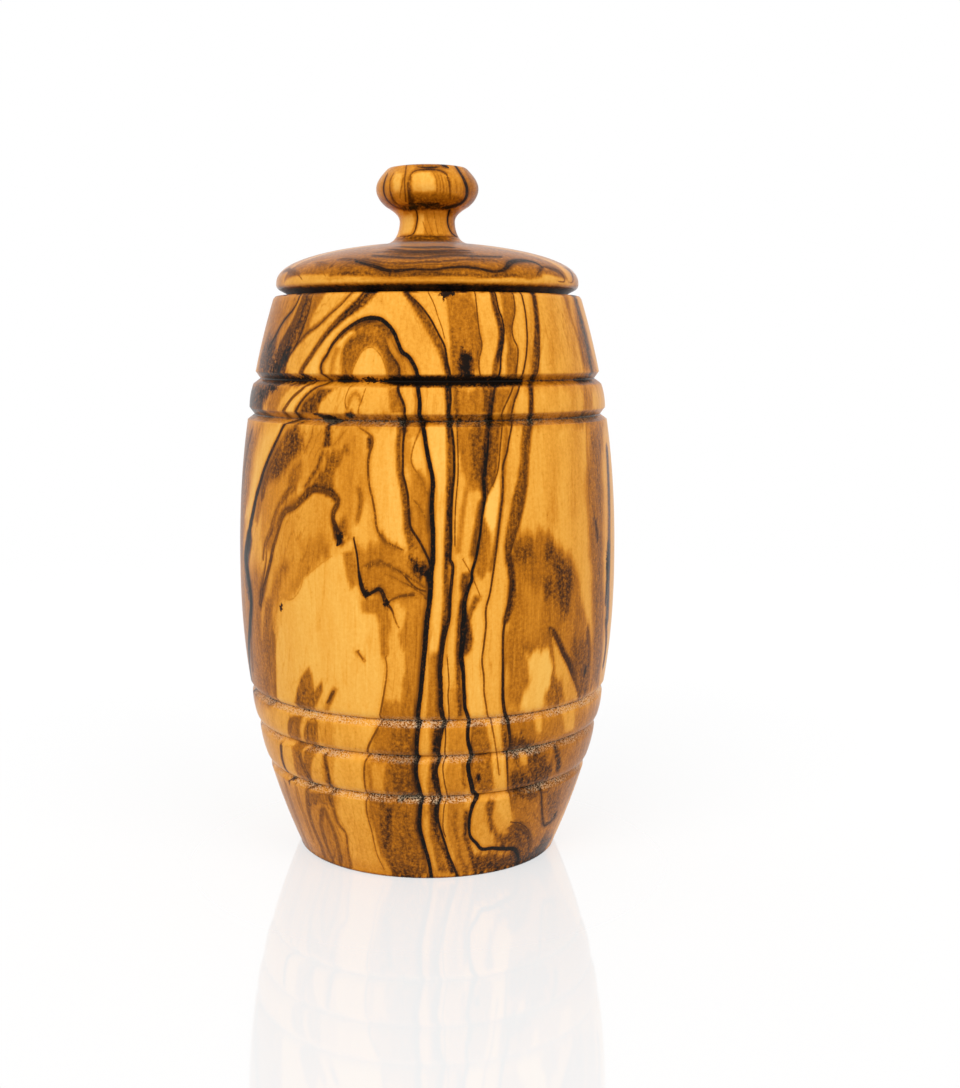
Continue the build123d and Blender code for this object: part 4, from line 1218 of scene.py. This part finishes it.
# %% [markdown]
# The lid is sawn so that its growth lines lie flat and cross it from side to side. One
# dark vein swings over the front of the dome, with fine ones round it. A brown band
# along the dome's lower edge is painted shade.
# %% Drawn figure of the lid
LID_VEINS = [
    (0.92, (1, 2.2, 3.4, 3, 2.2, 1.8, 2, 2.2, 2.2, 2.2, 2.8, 2.4, 1.5, 1), 1, 3, [355,261, 362,263, 370,265,
        378,267.5, 385,270, 395,271, 405,270, 415,269, 425,269.5, 435,269.5, 445,268, 455,267, 465,267,
        475,268, 485,270, 492,271.5, 498,271.5, 503,270, 507,267, 510,263, 515,261, 525,260.5, 535,262.5,
        541,266.5]),
    (0.92, (0.8, 1.2, 1.8, 2.6, 1.6), [398,246.6, 412,247.2, 426,247.4, 440,247.1, 454,247.2]),
    (0.82, (1, 1.6, 2.2, 1.8, 1), 1, 1, [391,249, 405,251, 420,251.5, 435,251, 450,250.5, 470,250.5]),
    (0.84, (1, 1.4, 1.4, 1), 0, 1, [372,256, 400,257.5, 410,257.8, 420,258, 430,257, 440,256, 455,255.2,
        470,255.8, 485,256.5, 502,257]),
    (0.75, (0.8, 1.3, 1.2, 0.8), [362,258.5, 380,262.2, 395,263, 410,263, 425,261.5, 440,261, 452,260,
        470,259.5, 485,260, 497,260.5]),
    (0.7, (0.8, 1, 0.8), [396,254, 412,254.6, 430,254, 446,253, 462,253]),
    (0.7, (1, 1.4, 1), [285,270, 292,271.5, 298,274.5, 301,278, 303,282]),
    (0.74, (0.8, 1.1, 0.8), [376,252, 392,251.8, 410,253, 432,252.6, 452,252.4, 474,253]),
    (0.74, (0.8, 1.1, 0.8), [340,259, 360,260.4, 384,265.4, 404,266.6, 424,265, 444,264.4, 466,263]),
    (0.65, (0.8, 1, 0.8), [318,262, 322,264, 328,266]),
    (0.7, (1.2, 1.5), [334,264.5, 331,267.5]),
    (0.7, (0.8, 1.1, 0.8), [343,266, 348,270, 353,273.5, 356,277]),
    (0.65, (0.7, 0.9, 0.7), [321,270.5, 324,274, 326,277]),
    (0.8, (1, 1.5, 1.2), [536,278, 538,273, 541,269, 541.5,266]),
    (0.78, (1, 1.6, 1.6, 1.4, 1), [543,267, 548,268, 554,269, 559,271.5, 563,276, 565,281, 563,286,
        558,288.5]),
    (0.76, (1, 1.6, 1.5, 1), [566,268, 570,271, 572.5,276, 572.5,282, 570,287]),
]
LID_FIELDS = [
    (0.5, 6, [276,280, 300,262, 340,248, 380,238, 480,238, 530,252, 580,278, 576,290, 280,290]),
    (0.66, 3, [345,256, 370,248, 398,238, 456,238, 480,246, 505,252, 500,258, 450,254, 400,256, 372,260]),
    (0.62, 3, [352,260, 400,255, 450,253, 505,257, 510,263, 503,269, 480,268, 455,266, 425,269, 390,269]),
    (0.7, 2.5, [360,264, 380,270, 400,272.5, 425,272, 450,270, 478,271, 494,274, 510,270, 530,266, 532,275,
        500,278, 470,274, 440,275, 400,276, 375,272]),
    # painted shade along the lower edge of the dome
    (0.54, 2, [284,282, 330,283.5, 380,282, 430,281, 480,281, 530,283, 570,286, 568,290, 284,290]),
]
LID_STROKES = [
    (0.26, 2, 5, [310,278, 322,277, 336,276, 350,279]),
    (0.66, 1.5, 3, [330,275, 350,273, 372,274, 400,276.5, 430,275.5, 460,275, 490,277, 520,276]),
    (0.36, 2, 3, [362,280, 380,281, 400,281.5, 425,280.5, 450,280.5, 475,280]),
    (0.14, 2, 5, [544,277, 552,278, 558,281]),
]
print("drawn on the lid:", len(LID_VEINS), "veins,", len(LID_FIELDS + LID_STROKES), "fields")

# %% [markdown]
# The knob's grain stands upright: fine lines nest round a pale middle, and two black
# ones flank its head and neck. The dark lines and band just under the head are painted shadow.
# %% Drawn figure of the knob
KNOB_VEINS = [
    (0.88, (1.2, 1.8, 2, 1.8, 1.4, 1), [388,173, 385,180, 383.6,188, 385,196, 389,202, 396,207, 404,210]),
    (0.72, (0.8, 1.1, 1.2, 2.6, 2.2), [394,173, 390.5,180, 390,189, 391.5,196, 394,201, 397.5,204]),
    (0.66, (0.8, 1, 0.8), [403.5,177, 402,185, 400.5,192, 400,199]),
    (0.75, (1.2, 1.2, 1, 1.4), [407,164.5, 405.6,172, 404.6,180, 404.8,188, 405.4,196, 406,202]),
    (0.8, (1, 1.4, 2.4, 5), [408,182, 408.2,189, 409.5,196, 412,204]),
    (0.74, (1, 1.6, 2.2, 2.2, 1.8, 1.2, 1), [410,180, 411,174, 416,170.5, 424,169.6, 432,169.4, 439,170.2,
        445,173, 448.4,179, 449.8,187, 450.2,195, 450,201]),
    (0.8, (1, 2, 2.4, 1), [418,166.6, 424,167.6, 432,167.6, 440,166.6]),
    (0.95, (2, 3.4, 2), [440,164, 444,165.6, 449,167.6]),
    (0.62, (0.7, 0.9, 0.8), [433,172, 435.8,178, 437,186, 436.6,194, 435,200]),
    (0.62, (0.7, 0.9, 0.8), [437,172.6, 439.4,179, 440.4,187, 440,195, 438,201]),
    (0.66, (0.7, 1, 1.1), [440.6,174, 442.6,181, 443.4,188, 443,195, 440.6,201]),
    (0.58, (0.6, 0.8, 0.7), [444.4,176, 446.4,184, 446.8,192, 445,200]),
    (0.6, (0.7, 1, 0.8), [454,178, 456.6,186, 456.4,194]),
    (0.56, (0.7, 0.9, 0.7), [459,180, 461,188, 460,196]),
    (0.93, (2.2, 2.4, 2.8, 3, 3, 3.2, 4, 5), [454.5,164, 458,169.6, 462,175.6, 465,182, 467,189, 467,195,
        464.6,200, 460,204, 452,206.5]),
    # the next three are the painted shadow under the knob's head
    (0.92, (1.2, 2.4, 2.4, 1.8), [408,203.6, 418,204, 430,204.4, 440,203.6]),
    (0.96, (3, 4.4, 2.4), [444,207, 450,207.4, 456,205.4]),
    (0.95, (2, 4, 2), [409,209.4, 413,207.4, 418,206]),
    (0.88, (1.6, 2, 1.8, 1.4, 1), [415.6,209, 417.4,215, 417.2,221, 415.8,228, 413,234, 407,237.4]),
    (1.0, (2.6, 2.4, 2.2, 1.6, 1.2), [450,209, 448,216, 447.6,222, 449,228, 452.6,234, 458,239]),
    (0.62, (0.7, 0.9, 1.2), [426.4,211, 427.4,219, 430.4,228, 434,236]),
    (0.64, (0.8, 1, 1), [433.8,211, 434.8,218, 436.4,226, 438.6,235]),
    (0.66, (0.8, 1, 1.2), [422.6,221, 425,228, 427.8,235]),
    (0.56, (0.7, 0.8), [440,214, 441.4,224, 444,234]),
]
KNOB_FIELDS = [
    (0.36, 3, [376,166, 482,166, 482,206, 458,210, 456,238, 400,238, 402,210, 376,206]),
    (0.12, 2, [396,172, 402,174, 401,184, 400,191, 395,192, 393,182]),
    (0.1, 2, [412,175, 420,172, 430,172, 435,180, 436,190, 424,192, 414,191, 410,184]),
    (0.5, 2, [410,163, 452,163, 448,169, 436,168, 416,169]),
    (0.5, 2, [412,193, 424,193, 446,193, 460,196, 462,203, 414,203]),
    (0.5, 2.5, [382,196, 390,200, 400,206, 408,210, 392,210, 380,202]),
    # painted shadow under the knob's head
    (0.72, 2, [398,205, 458,205, 454,211, 404,211]),
    (0.5, 2.5, [470,166, 486,176, 486,204, 466,206, 470,190, 466,176]),
    (0.56, 2, [408,197, 440,199, 462,197, 460,205, 410,205]),
    (0.5, 2, [448,206, 458,208, 457,216, 456,230, 462,240, 452,236, 448,226, 447,216]),
    (0.1, 2, [403,217, 412,214, 414,224, 410,233, 402,234]),
    (0.16, 1.5, [418,214, 424,214, 424,226, 424,235, 415,235, 418,224]),
]
KNOB_STROKES = [
    (0.58, 1.5, (3, 3, 4), [410,178, 409.6,188, 412,200]),
    (0.6, 1.5, 3, [400,238.6, 414,236.8, 430,236, 446,236.6, 458,239]),
]
print("drawn on the knob:", len(KNOB_VEINS), "veins,", len(KNOB_FIELDS + KNOB_STROKES), "fields")

# %% [markdown]
# The lid's sheet is the dome seen from above, with the radius measured along the curve,
# so that the pattern isn't squeezed on the steep edge. The knob's sheet is unrolled like
# the barrel's, with the grain upright.
# %% From the picture to the lid and the knob
KNOB_SHEET_RADIUS = 9.0  # mm, between the neck's and the head's
SIDE_RADIUS, SIDE_LENGTH = 3, 6.8  # mm; the knob's side lies outside both, from its axis and its foot
lid_length = along(lid_outline)
lid_top = np.arange(len(lid_outline))[lid_outline[:, 1] >= BODY_HEIGHT + EDGE_LEVEL - 0.01]
knob_length = along(knob_outline)
knob_side = np.arange(len(knob_outline))[(knob_outline[:, 0] > SIDE_RADIUS) & (knob_length > SIDE_LENGTH)]


def lid_radius(z):
    return np.interp(z, lid_outline[lid_top, 1], lid_outline[lid_top, 0])


def knob_radius(z):
    return np.interp(z, knob_outline[knob_side, 1], knob_outline[knob_side, 0])


def on_lid(dots):
    """Dots to the dome's sheet: across and towards the front, by length along the curve."""
    x, depth, z = sight(dots, lid_radius, (BODY_HEIGHT + EDGE_LEVEL, BODY_HEIGHT + JOINT_HEIGHT), LID_RADIUS)
    turn = np.arctan2(x, depth)
    length = lid_length[-1] - np.interp(z, lid_outline[lid_top, 1], lid_length[lid_top])
    return np.stack([length * np.sin(turn), -length * np.cos(turn)], 1)


def on_knob(dots):
    """Dots to the knob's sheet: arc at a middle radius, and length up the outline."""
    bottom = BODY_HEIGHT + JOINT_HEIGHT
    x, depth, z = sight(dots, knob_radius, (bottom, bottom + CROWN_HEIGHT), HEAD_RADIUS)
    length = np.interp(z, knob_outline[knob_side, 1], knob_length[knob_side])
    return np.stack([np.arctan2(x, depth) * KNOB_SHEET_RADIUS, length], 1)


def lid_stretch(dots):
    """Millimetres of wood up one dot: the dome is seen almost edge-on, so it is up to 1.3."""
    step = np.array([0, 0.6])
    reach = np.linalg.norm(on_lid(dots + step) - on_lid(dots - step), axis=1)
    return np.clip(reach / 1.2, MM_PER_DOT, 1.3)


def knob_stretch(dots):
    return np.full(len(dots), 1.25 * MM_PER_DOT)


def row_lengths(outline, count):
    """Each mesh point's length along the outline, in the order that spin() lays them."""
    length = along(outline)
    return np.concatenate([np.repeat(length[1:-1], count), [length[0], length[-1]]])


# %% [markdown]
# Where the drawing ends, behind the knob, wavering lines run on from side to side. Bands
# of honey go right through the block, so the underside has them too; only the drawn
# front is left out. The relief under the edge is painted dark as shade, so that the gap reads as one dark
# line.
# %% Figure of the lid
# tone of the painted shade on the relief under the lid's edge
RELIEF_PAINTED_SHADE_TONE = 0.97
DRAWN_TO, BANDS_BLEND = -18.0, 9.0  # mm of depth where the drawn front ends, and how softly
NO_EDGE = 90.0  # mm; an edge so far out that no line is led on over it


def cross_lines(veins, seed, reach):
    """Unseen side of the lid: gently wavering lines from left to right, a few mm apart."""
    rng = np.random.default_rng(seed)
    y = 2.0
    while y < reach:
        x = np.linspace(-1, 1, 50) * np.sqrt(max(reach**2 - y**2, 4)) * rng.uniform(0.5, 0.95)
        level = y + 0.05 * x + 1.0 * np.sin(x / 9 + rng.uniform(0, 6))
        level += 0.4 * np.sin(x / 3.1 + rng.uniform(0, 6))
        tone, breadth = rng.uniform(0.6, 0.9), rng.uniform(0.15, 0.7) * (1 + 0.4 * np.sin(x[::7]))
        veins.add(tone, breadth, rng.uniform(0, 1.6), rng.uniform(0, 0.6), np.stack([x, level], 1))
        y += rng.uniform(2.2, 4.6)


def board_bands(points):
    """Honey bands by sines of depth and width, over the seat only behind the drawn front."""
    x, y, z = points.T
    bands = 0.4 + 0.13 * np.sin(y / 2.4 + 1.3 * np.sin(x / 9))
    return bands * np.clip(np.where(z < BODY_HEIGHT + 0.01, 1, (y - DRAWN_TO) / BANDS_BLEND), 0, 1)


lid_veins = Veins(-NO_EDGE, NO_EDGE)
lid_veins.add_drawn(LID_VEINS, on_lid, lid_stretch)
cross_lines(lid_veins, 11, 38)
lid_turn = np.arctan2(lid_points[:, 0], -lid_points[:, 1])
lid_reach = lid_length[-1] - row_lengths(lid_outline, LID_COLUMNS)
lid_sheet = np.stack([lid_reach * np.sin(lid_turn), -lid_reach * np.cos(lid_turn)], 1)
nothing = np.zeros(len(lid_points))
lid_tone = tones_at(lid_sheet, LID_FIELDS, LID_STROKES, on_lid, lid_stretch, upright=False)
lid_tone = np.maximum(lid_tone, board_bands(lid_points))
above_seat = lid_points[:, 2] - BODY_HEIGHT
# painted shade: the relief under the lid's edge turns nearly black, as the gap under the lid is in shade
painted_shade_under_edge = np.clip((EDGE_LEVEL - 0.3 - above_seat) / 1.1, 0, 1) * (above_seat > -0.01)
lid_tone += (RELIEF_PAINTED_SHADE_TONE - lid_tone) * painted_shade_under_edge**1.3
figure(lid, lid_veins, lid_sheet, nothing, nothing, lid_tone, nothing, nothing)

# %% [markdown]
# Round the back of the knob seven upright lines follow the barrel's kind of waver. The
# crown is cut across the grain, so the veins fade there and rings take over.
# %% Figure of the knob
KNOB_BACK_TURNS = range(75, 262, 31)  # degrees from the front
knob_veins = Veins(-NO_EDGE, NO_EDGE)
knob_veins.add_drawn(KNOB_VEINS, on_knob, knob_stretch)
for number, turn in enumerate(KNOB_BACK_TURNS):
    z = np.linspace(float(knob_length[-1]) - 9, 4, 30)
    u = turn / 180 * np.pi * KNOB_SHEET_RADIUS + 0.5 * waver(2 * z, 120 + number)
    u = np.where(u > np.pi * KNOB_SHEET_RADIUS, u - 2 * np.pi * KNOB_SHEET_RADIUS, u)
    knob_veins.add(0.85, 0.2 + 0.3 * (number % 3), 0.6, 0.3, np.stack([u, z], 1))
knob_turn = np.arctan2(knob_points[:, 0], -knob_points[:, 1])
knob_sheet = np.stack([knob_turn * KNOB_SHEET_RADIUS, row_lengths(knob_outline, KNOB_COLUMNS)], 1)
top_share = np.clip((knob_points[:, 2] - BODY_HEIGHT - JOINT_HEIGHT - CROWN_HEIGHT + 0.1) / 0.1, 0, 1)
nothing = np.zeros(len(knob_points))
knob_tone = tones_at(knob_sheet, KNOB_FIELDS, KNOB_STROKES, on_knob, knob_stretch, upright=False)
figure(knob, knob_veins, knob_sheet, top_share, top_share, knob_tone, nothing, nothing)

# %% [markdown]
# Shader sums are easier to read as Python than as a web of nodes. One small class wraps
# an output socket, and its operators add the Math nodes. A second class holds the nodes
# of one material or of the world, with one method that adds any other node.
# %% Writing shaders as sums
class Wire:
    """An output socket that can be added, taken away and multiplied."""

    def __init__(self, board, socket):
        self.board, self.socket = board, socket

    def sum_with(self, operation, *values):
        return self.board.add("ShaderNodeMath", {"operation": operation}, dict(enumerate(values)))

    def __add__(self, other):
        return self.sum_with("ADD", self, other)

    def __radd__(self, other):
        return self.sum_with("ADD", other, self)

    def __sub__(self, other):
        return self.sum_with("SUBTRACT", self, other)

    def __rsub__(self, other):
        return self.sum_with("SUBTRACT", other, self)

    def __mul__(self, other):
        return self.sum_with("MULTIPLY", self, other)

    def __rmul__(self, other):
        return self.sum_with("MULTIPLY", other, self)

    def __abs__(self):
        return self.sum_with("ABSOLUTE", self)

    def above(self, other):
        return self.sum_with("MAXIMUM", self, other)


class Board:
    """The nodes of a new material or world."""

    def __init__(self, owner):
        self.owner = owner
        owner.use_nodes = True
        self.tree = owner.node_tree
        self.tree.nodes.clear()

    def add(self, kind, settings=None, sockets=None, output=0):
        """A node of this type: settings first, then the values or links of its sockets."""
        node = self.tree.nodes.new(kind)
        for key, value in (settings or {}).items():
            setattr(node, key, value)
        for key, value in (sockets or {}).items():
            if isinstance(value, Wire):
                self.tree.links.new(value.socket, node.inputs[key])
            else:
                node.inputs[key].default_value = value
        return Wire(self, node.outputs[output]) if len(node.outputs) else node

    def step(self, value, low, high):
        """0 below low, 1 above high, smooth between; high below low turns it round."""
        return self.add("ShaderNodeMapRange", {"interpolation_type": "SMOOTHSTEP"},
                        {"Value": value, "From Min": low, "From Max": high})

    def mix(self, share, first, second):
        return self.add("ShaderNodeMix", {"data_type": "RGBA"}, {0: share, 6: first, 7: second}, 2)

    def shade(self, tone, shades):
        """The colour of a tone: one mix after the other between neighbours of the list."""
        colour = shades[0][1]
        for (low, _), (high, next_colour) in zip(shades, shades[1:]):
            share = self.add("ShaderNodeMapRange", {}, {"Value": tone, "From Min": low, "From Max": high})
            colour = self.mix(share, colour, next_colour)
        return colour

    def back_and_forth(self, value):
        """Runs from 0 to 1 and back again as the value goes up by 2."""
        return self.add("ShaderNodeMath", {"operation": "PINGPONG"}, {0: value, 1: 1.0})

    def kept(self, name):
        return self.add("ShaderNodeAttribute", {"attribute_name": name}, output=2)

    def noise(self, place, scale, detail=3.0, roughness=0.55):
        sockets = {"Vector": place, "Scale": scale, "Detail": detail, "Roughness": roughness}
        return self.add("ShaderNodeTexNoise", {}, sockets)

    def stretched(self, place, factors, shift=(0, 0, 0)):
        return self.add("ShaderNodeMapping", {}, {"Vector": place, "Scale": factors, "Location": shift})


def paint(red, green, blue):
    """A colour given in screen values from 0 to 255, turned to the shader's even light values."""
    part = np.array([red, green, blue]) / 255
    even = np.where(part <= 0.04045, part / 12.92, ((part + 0.055) / 1.055) ** 2.4)
    return (*even.tolist(), 1.0)


# %% [markdown]
# One finish serves all three pieces, turned to each one's grain. Between the veins the
# wood has its drawn tone, and over it fine fibres, slow bands of deeper honey, stains
# beside the veins of the first layer, faint lines that echo those veins, and rings of
# end grain where the block was cut across.
# %% Tone between the veins
def noises(board, place, fibre):
    """Slow bands, streaks, hair-fine fibres and grit, each a noise about zero."""
    grain = board.stretched(place, fibre)
    slow = board.noise(board.stretched(place, fibre, (7, 3, 1)), 0.2, 3) - 0.5
    streak = board.noise(grain, 1.5, 4, 0.6) - 0.5
    hair = board.noise(grain, 5.0, 3, 0.7) - 0.5
    grit = board.noise(place, 1.6, 4, 0.65) - 0.5
    return slow, streak, hair, grit


def tone_between(board, place, slow, streak, hair, grit):
    """Drawn tone, noises, stains, echo lines and end grain as one sum."""
    side = board.step(board.kept("edge_1"), -0.08, 0.08)
    soak = board.kept("edge_1") + streak * 0.6 + grit * 0.8
    plus, minus = board.kept("plus"), board.kept("minus")
    stain = board.step(soak, plus + 0.05, plus * 0.2) * side
    stain = stain + board.step(soak * -1, minus + 0.05, minus * 0.2) * (1 - side)

    smoky = board.step(board.kept("tone"), 0.4, 0.8)
    tone = board.kept("tone") + (grit * 0.8 + streak * 0.3) * smoky + slow * 0.28
    tone = tone + streak * 0.22 + hair * 0.14 + grit * 0.28 + stain * 0.13
    waving = board.kept("edge_1") * 0.8 + slow * 9 + streak * 0.8
    echo = board.step(board.back_and_forth(waving), 0.72, 1.0)
    tone = tone + echo * board.step(board.noise(place, 0.07, 2), 0.45, 0.62) * 0.09

    ring_place = board.stretched(place, (0.9, 0.6, 0.03), (14, 22, 0))
    rings = board.add("ShaderNodeVectorMath", {"operation": "LENGTH"}, {0: ring_place}, 1)
    rings = rings + (board.noise(place, 0.09, 3) - 0.5) * 9
    ring_line = board.step(board.back_and_forth(rings * 0.45), 0.5, 0.97)
    ring_line = ring_line * board.step(board.noise(place, 0.05, 2), 0.3, 0.65)
    return tone + board.kept("end_grain") * (ring_line * 0.45 + 0.1)


# %% [markdown]
# Each layer of veins lifts the tone to its ink, within a frayed edge, and a thin halo
# soaks out of it. Char turns places nearly black. Chalk is the torn, dry grain of the
# cuts and, in part, a painted highlight on their up-facing flanks: pale specks that keep off the veins,
# among darker ones.
# %% Veins, char, chalk and painted highlight
def lay_veins(board, tone, place, fibre, streak, hair, grit):
    """The tone under its four layers of veins, and how far they cover each place."""
    drift = (board.noise(place, 0.35, 2) - 0.5) * 0.3
    drift = drift + (board.noise(board.stretched(place, fibre), 2.2, 3) - 0.5) * 0.16
    dark = halo = board.kept("char") * 0
    for number in range(1, LAYERS + 1):
        half, ink = board.kept(f"half_{number}"), board.kept(f"ink_{number}")
        apart = abs(board.kept(f"edge_{number}") + drift * board.step(half, 0.0, 0.5))
        ragged = apart + grit * board.step(half, 0.1, 0.8) * 0.9
        cover = board.step(ragged, half + 0.15, half - 0.12) * board.step(half, 0.02, 0.1)
        ink = ink - board.step(grit + hair * 0.8, -0.04, -0.16) * 0.16
        ink = ink - board.step(half, 0.26, 0.1) * 0.1
        tone = tone + (ink - tone).above(0) * cover
        dark = dark.above(cover)
        soaked = board.step(ragged + streak * 0.4, half + 0.9, half)
        halo = halo.above(soaked * board.step(half, 0.05, 0.3) * (1 - cover))
    return tone + halo * 0.16, dark


def lay_char_chalk_and_highlight(board, tone, place, dark, streak, grit):
    """The tone with char and with chalk and painted highlight, the share of pale specks, and how burnt each
    place is.
    """
    burnt = board.step(board.kept("char") + streak * 0.9 + grit * 1.5, 0.35, 0.7)
    tone = tone + (0.98 - tone) * burnt * 0.95
    speck = board.noise(place, 3.4, 2, 0.6) - 0.5
    chalk_and_highlight = board.kept("chalk_and_highlight") * board.step(board.noise(place, 0.12, 2), 0.3, 0.6)
    tone = tone + chalk_and_highlight * board.step(speck, -0.02, 0.12) * 0.24
    # pale specks: chalk, and partly a painted highlight
    pale = chalk_and_highlight * board.step(speck, 0.06, -0.12) * (0.7 - 0.5 * dark.above(burnt))
    return tone, pale, burnt


# %% [markdown]
# The tone picks its colour from gold to black. The oil leaves a satin gloss, a little
# duller on the dark streaks and more so on char; the bump is only the open pores and the
# fibres, sunk a little along the veins. Sheen is the dust of a dry, sanded lid.
# %% Olive wood
SHADES = [  # tone and its colour
    (0.0, paint(250, 190, 88)), (0.2, paint(238, 166, 60)), (0.35, paint(214, 137, 34)),
    (0.5, paint(178, 106, 15)), (0.65, paint(126, 71, 8)), (0.8, paint(75, 39, 6)),
    (0.92, paint(36, 19, 6)), (1.0, paint(13, 8, 5)),
]
# colour of the pale specks of the cuts: chalk, and partly painted highlight
CHALK_AND_HIGHLIGHT = paint(220, 194, 158)
PER_METRE = (1000, 1000, 1000)  # shader places are metres, and the noises are set in mm


def olive_wood(name, fibre, shift, sheen):
    """The finish; fibre scales the noises so that they run long along the grain."""
    board = Board(bpy.data.materials.new(name))
    place = board.stretched(board.add("ShaderNodeTexCoord", output=3), PER_METRE, shift)
    slow, streak, hair, grit = noises(board, place, fibre)
    tone = tone_between(board, place, slow, streak, hair, grit)
    tone, dark = lay_veins(board, tone, place, fibre, streak, hair, grit)
    tone, pale, burnt = lay_char_chalk_and_highlight(board, tone, place, dark, streak, grit)
    body = board.mix(pale, board.shade(tone, SHADES), CHALK_AND_HIGHLIGHT)
    pores = board.noise(board.stretched(place, fibre, (3, 1, 5)), 7.0, 1)
    lift = board.step(pores, 0.32, 0.45) * 0.6 + hair * 0.4 - dark * 0.25
    bump = board.add("ShaderNodeBump", {}, {"Height": lift, "Strength": 0.18, "Distance": 0.0002})
    satin = 0.34 + hair * 0.14 + dark * 0.1 + burnt * 0.2
    wood = board.add("ShaderNodeBsdfPrincipled", {}, {
        "Base Color": body, "Roughness": satin, "Normal": bump, "IOR": 1.46, "Specular IOR Level": 0.08,
        "Coat Weight": 0.25, "Coat Roughness": 0.2, "Coat IOR": 1.2,
        "Sheen Weight": sheen, "Sheen Roughness": 0.22, "Sheen Tint": (0.9, 0.93, 1.0, 1.0)})
    board.add("ShaderNodeOutputMaterial", {}, {"Surface": wood})
    print(name, "nodes:", len(board.tree.nodes))
    return board.owner


def dress(piece, body, node, material):
    piece.data.materials.append(material)
    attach(piece, body)
    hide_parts(node)


dress(pot, "pot", "pot_body", olive_wood("pot_olive", (1.0, 1.0, 0.07), (3, 5, 7), 0.04))
dress(lid, "lid", "lid", olive_wood("lid_olive", (0.07, 1.0, 1.0), (31, 11, 2), 0.5))
dress(knob, "lid", "lid_knob", olive_wood("knob_olive", (1.4, 1.4, 0.12), (17, 2, 23), 0.1))

# %% [markdown]
# The pot stands on a glossy sheet that is partly lit from below, so that it shows white
# with a clear reflection of the pot and only a faint shadow. It turns clear away from
# the pot and lets the white room through, so that no horizon shows.
# %% The lit sheet
FLOOR_REACH = 900.0
FLOOR_RINGS, FLOOR_SPOKES = 23, 96


def make_floor():
    """A disc of rings: radius grows with the square of the step, so it is finer near the pot."""
    turn = np.linspace(0, 2 * np.pi, FLOOR_SPOKES, endpoint=False)
    radius = FLOOR_REACH * np.linspace(0, 1, FLOOR_RINGS + 1)[1:, None] ** 2
    ring = np.stack([radius * np.cos(turn), radius * np.sin(turn), 0 * radius * turn], 2)
    points = np.concatenate([ring.reshape(-1, 3), [[0, 0, 0]]])
    quads = ring_quads(FLOOR_RINGS, FLOOR_SPOKES)[:, [0, 3, 2, 1]]
    spoke = np.arange(FLOOR_SPOKES)
    centre = np.full(FLOOR_SPOKES, FLOOR_RINGS * FLOOR_SPOKES)
    middle = np.stack([spoke, (spoke + 1) % FLOOR_SPOKES, centre], 1)
    mesh = bpy.data.meshes.new("white_sheet")
    mesh.from_pydata((points * MM).tolist(), [], quads.tolist() + middle.tolist())
    floor = bpy.data.objects.new("white_sheet", mesh)
    bpy.context.scene.collection.objects.link(floor)
    return floor


def floor_finish():
    board = Board(bpy.data.materials.new("glossy_white"))
    place = board.add("ShaderNodeTexCoord", output=3)
    away = board.add("ShaderNodeVectorMath", {"operation": "LENGTH"}, {0: place}, 1)
    sheet = board.add("ShaderNodeBsdfPrincipled", {}, {
        "Base Color": (0.45, 0.45, 0.45, 1), "Roughness": 0.05, "IOR": 2.4,
        "Emission Color": (1.0, 1.0, 1.0, 1), "Emission Strength": 0.43})
    clear = board.add("ShaderNodeBsdfTransparent")
    shown = board.add("ShaderNodeMixShader", {}, {0: board.step(away, -0.3, 0.5), 1: sheet, 2: clear})
    board.add("ShaderNodeOutputMaterial", {}, {"Surface": shown})
    return board.owner


floor = make_floor()
floor.data.materials.append(floor_finish())
print("sheet faces:", len(floor.data.polygons))

# %% [markdown]
# The room is a white world that lights the pot at half strength. Two wide lamps, left
# and right of the eye, shape the round a little. They are kept out of reflections.
# %% Room and lamps
LAMP_AIM = np.array([0, 0, 70.0])  # mm; the middle of the pot


def make_room(light):
    """White at strength 1 to the camera and in reflections, and the given strength as light."""
    board = Board(bpy.data.worlds.new("white_room"))
    bpy.context.scene.world = board.owner
    rays = [board.add("ShaderNodeLightPath", output=f"Is {kind} Ray") for kind in ("Camera", "Glossy")]
    sockets = {"Value": rays[0].above(rays[1]), "To Min": light, "To Max": 1.0}
    strength = board.add("ShaderNodeMapRange", {}, sockets)
    glow = board.add("ShaderNodeBackground", {}, {"Color": (1, 1, 1, 1), "Strength": strength})
    board.add("ShaderNodeOutputWorld", {}, {"Surface": glow})


def soft_lamp(name, place, size, power):
    """A square lamp that faces the middle of the pot; place and size in mm, power in watts."""
    data = bpy.data.lights.new(name, "AREA")
    data.size, data.energy = size * MM, power
    lamp = bpy.data.objects.new(name, data)
    lamp.visible_glossy = False
    lamp.location = np.array(place) * MM
    toward = LAMP_AIM - place
    lamp.rotation_mode = "QUATERNION"
    lamp.rotation_quaternion = mathutils.Vector(toward).to_track_quat("-Z", "Y")
    bpy.context.scene.collection.objects.link(lamp)
    print(name, "watts:", power)


make_room(0.5)
soft_lamp("left_window", (-450.0, -800.0, 700.0), 700, 6.3)
soft_lamp("right_window", (550.0, -650.0, 520.0), 600, 3.2)

# %% [markdown]
# Plain colours need the plain view transform.
# %% View transform
bpy.context.scene.view_settings.view_transform = "Standard"
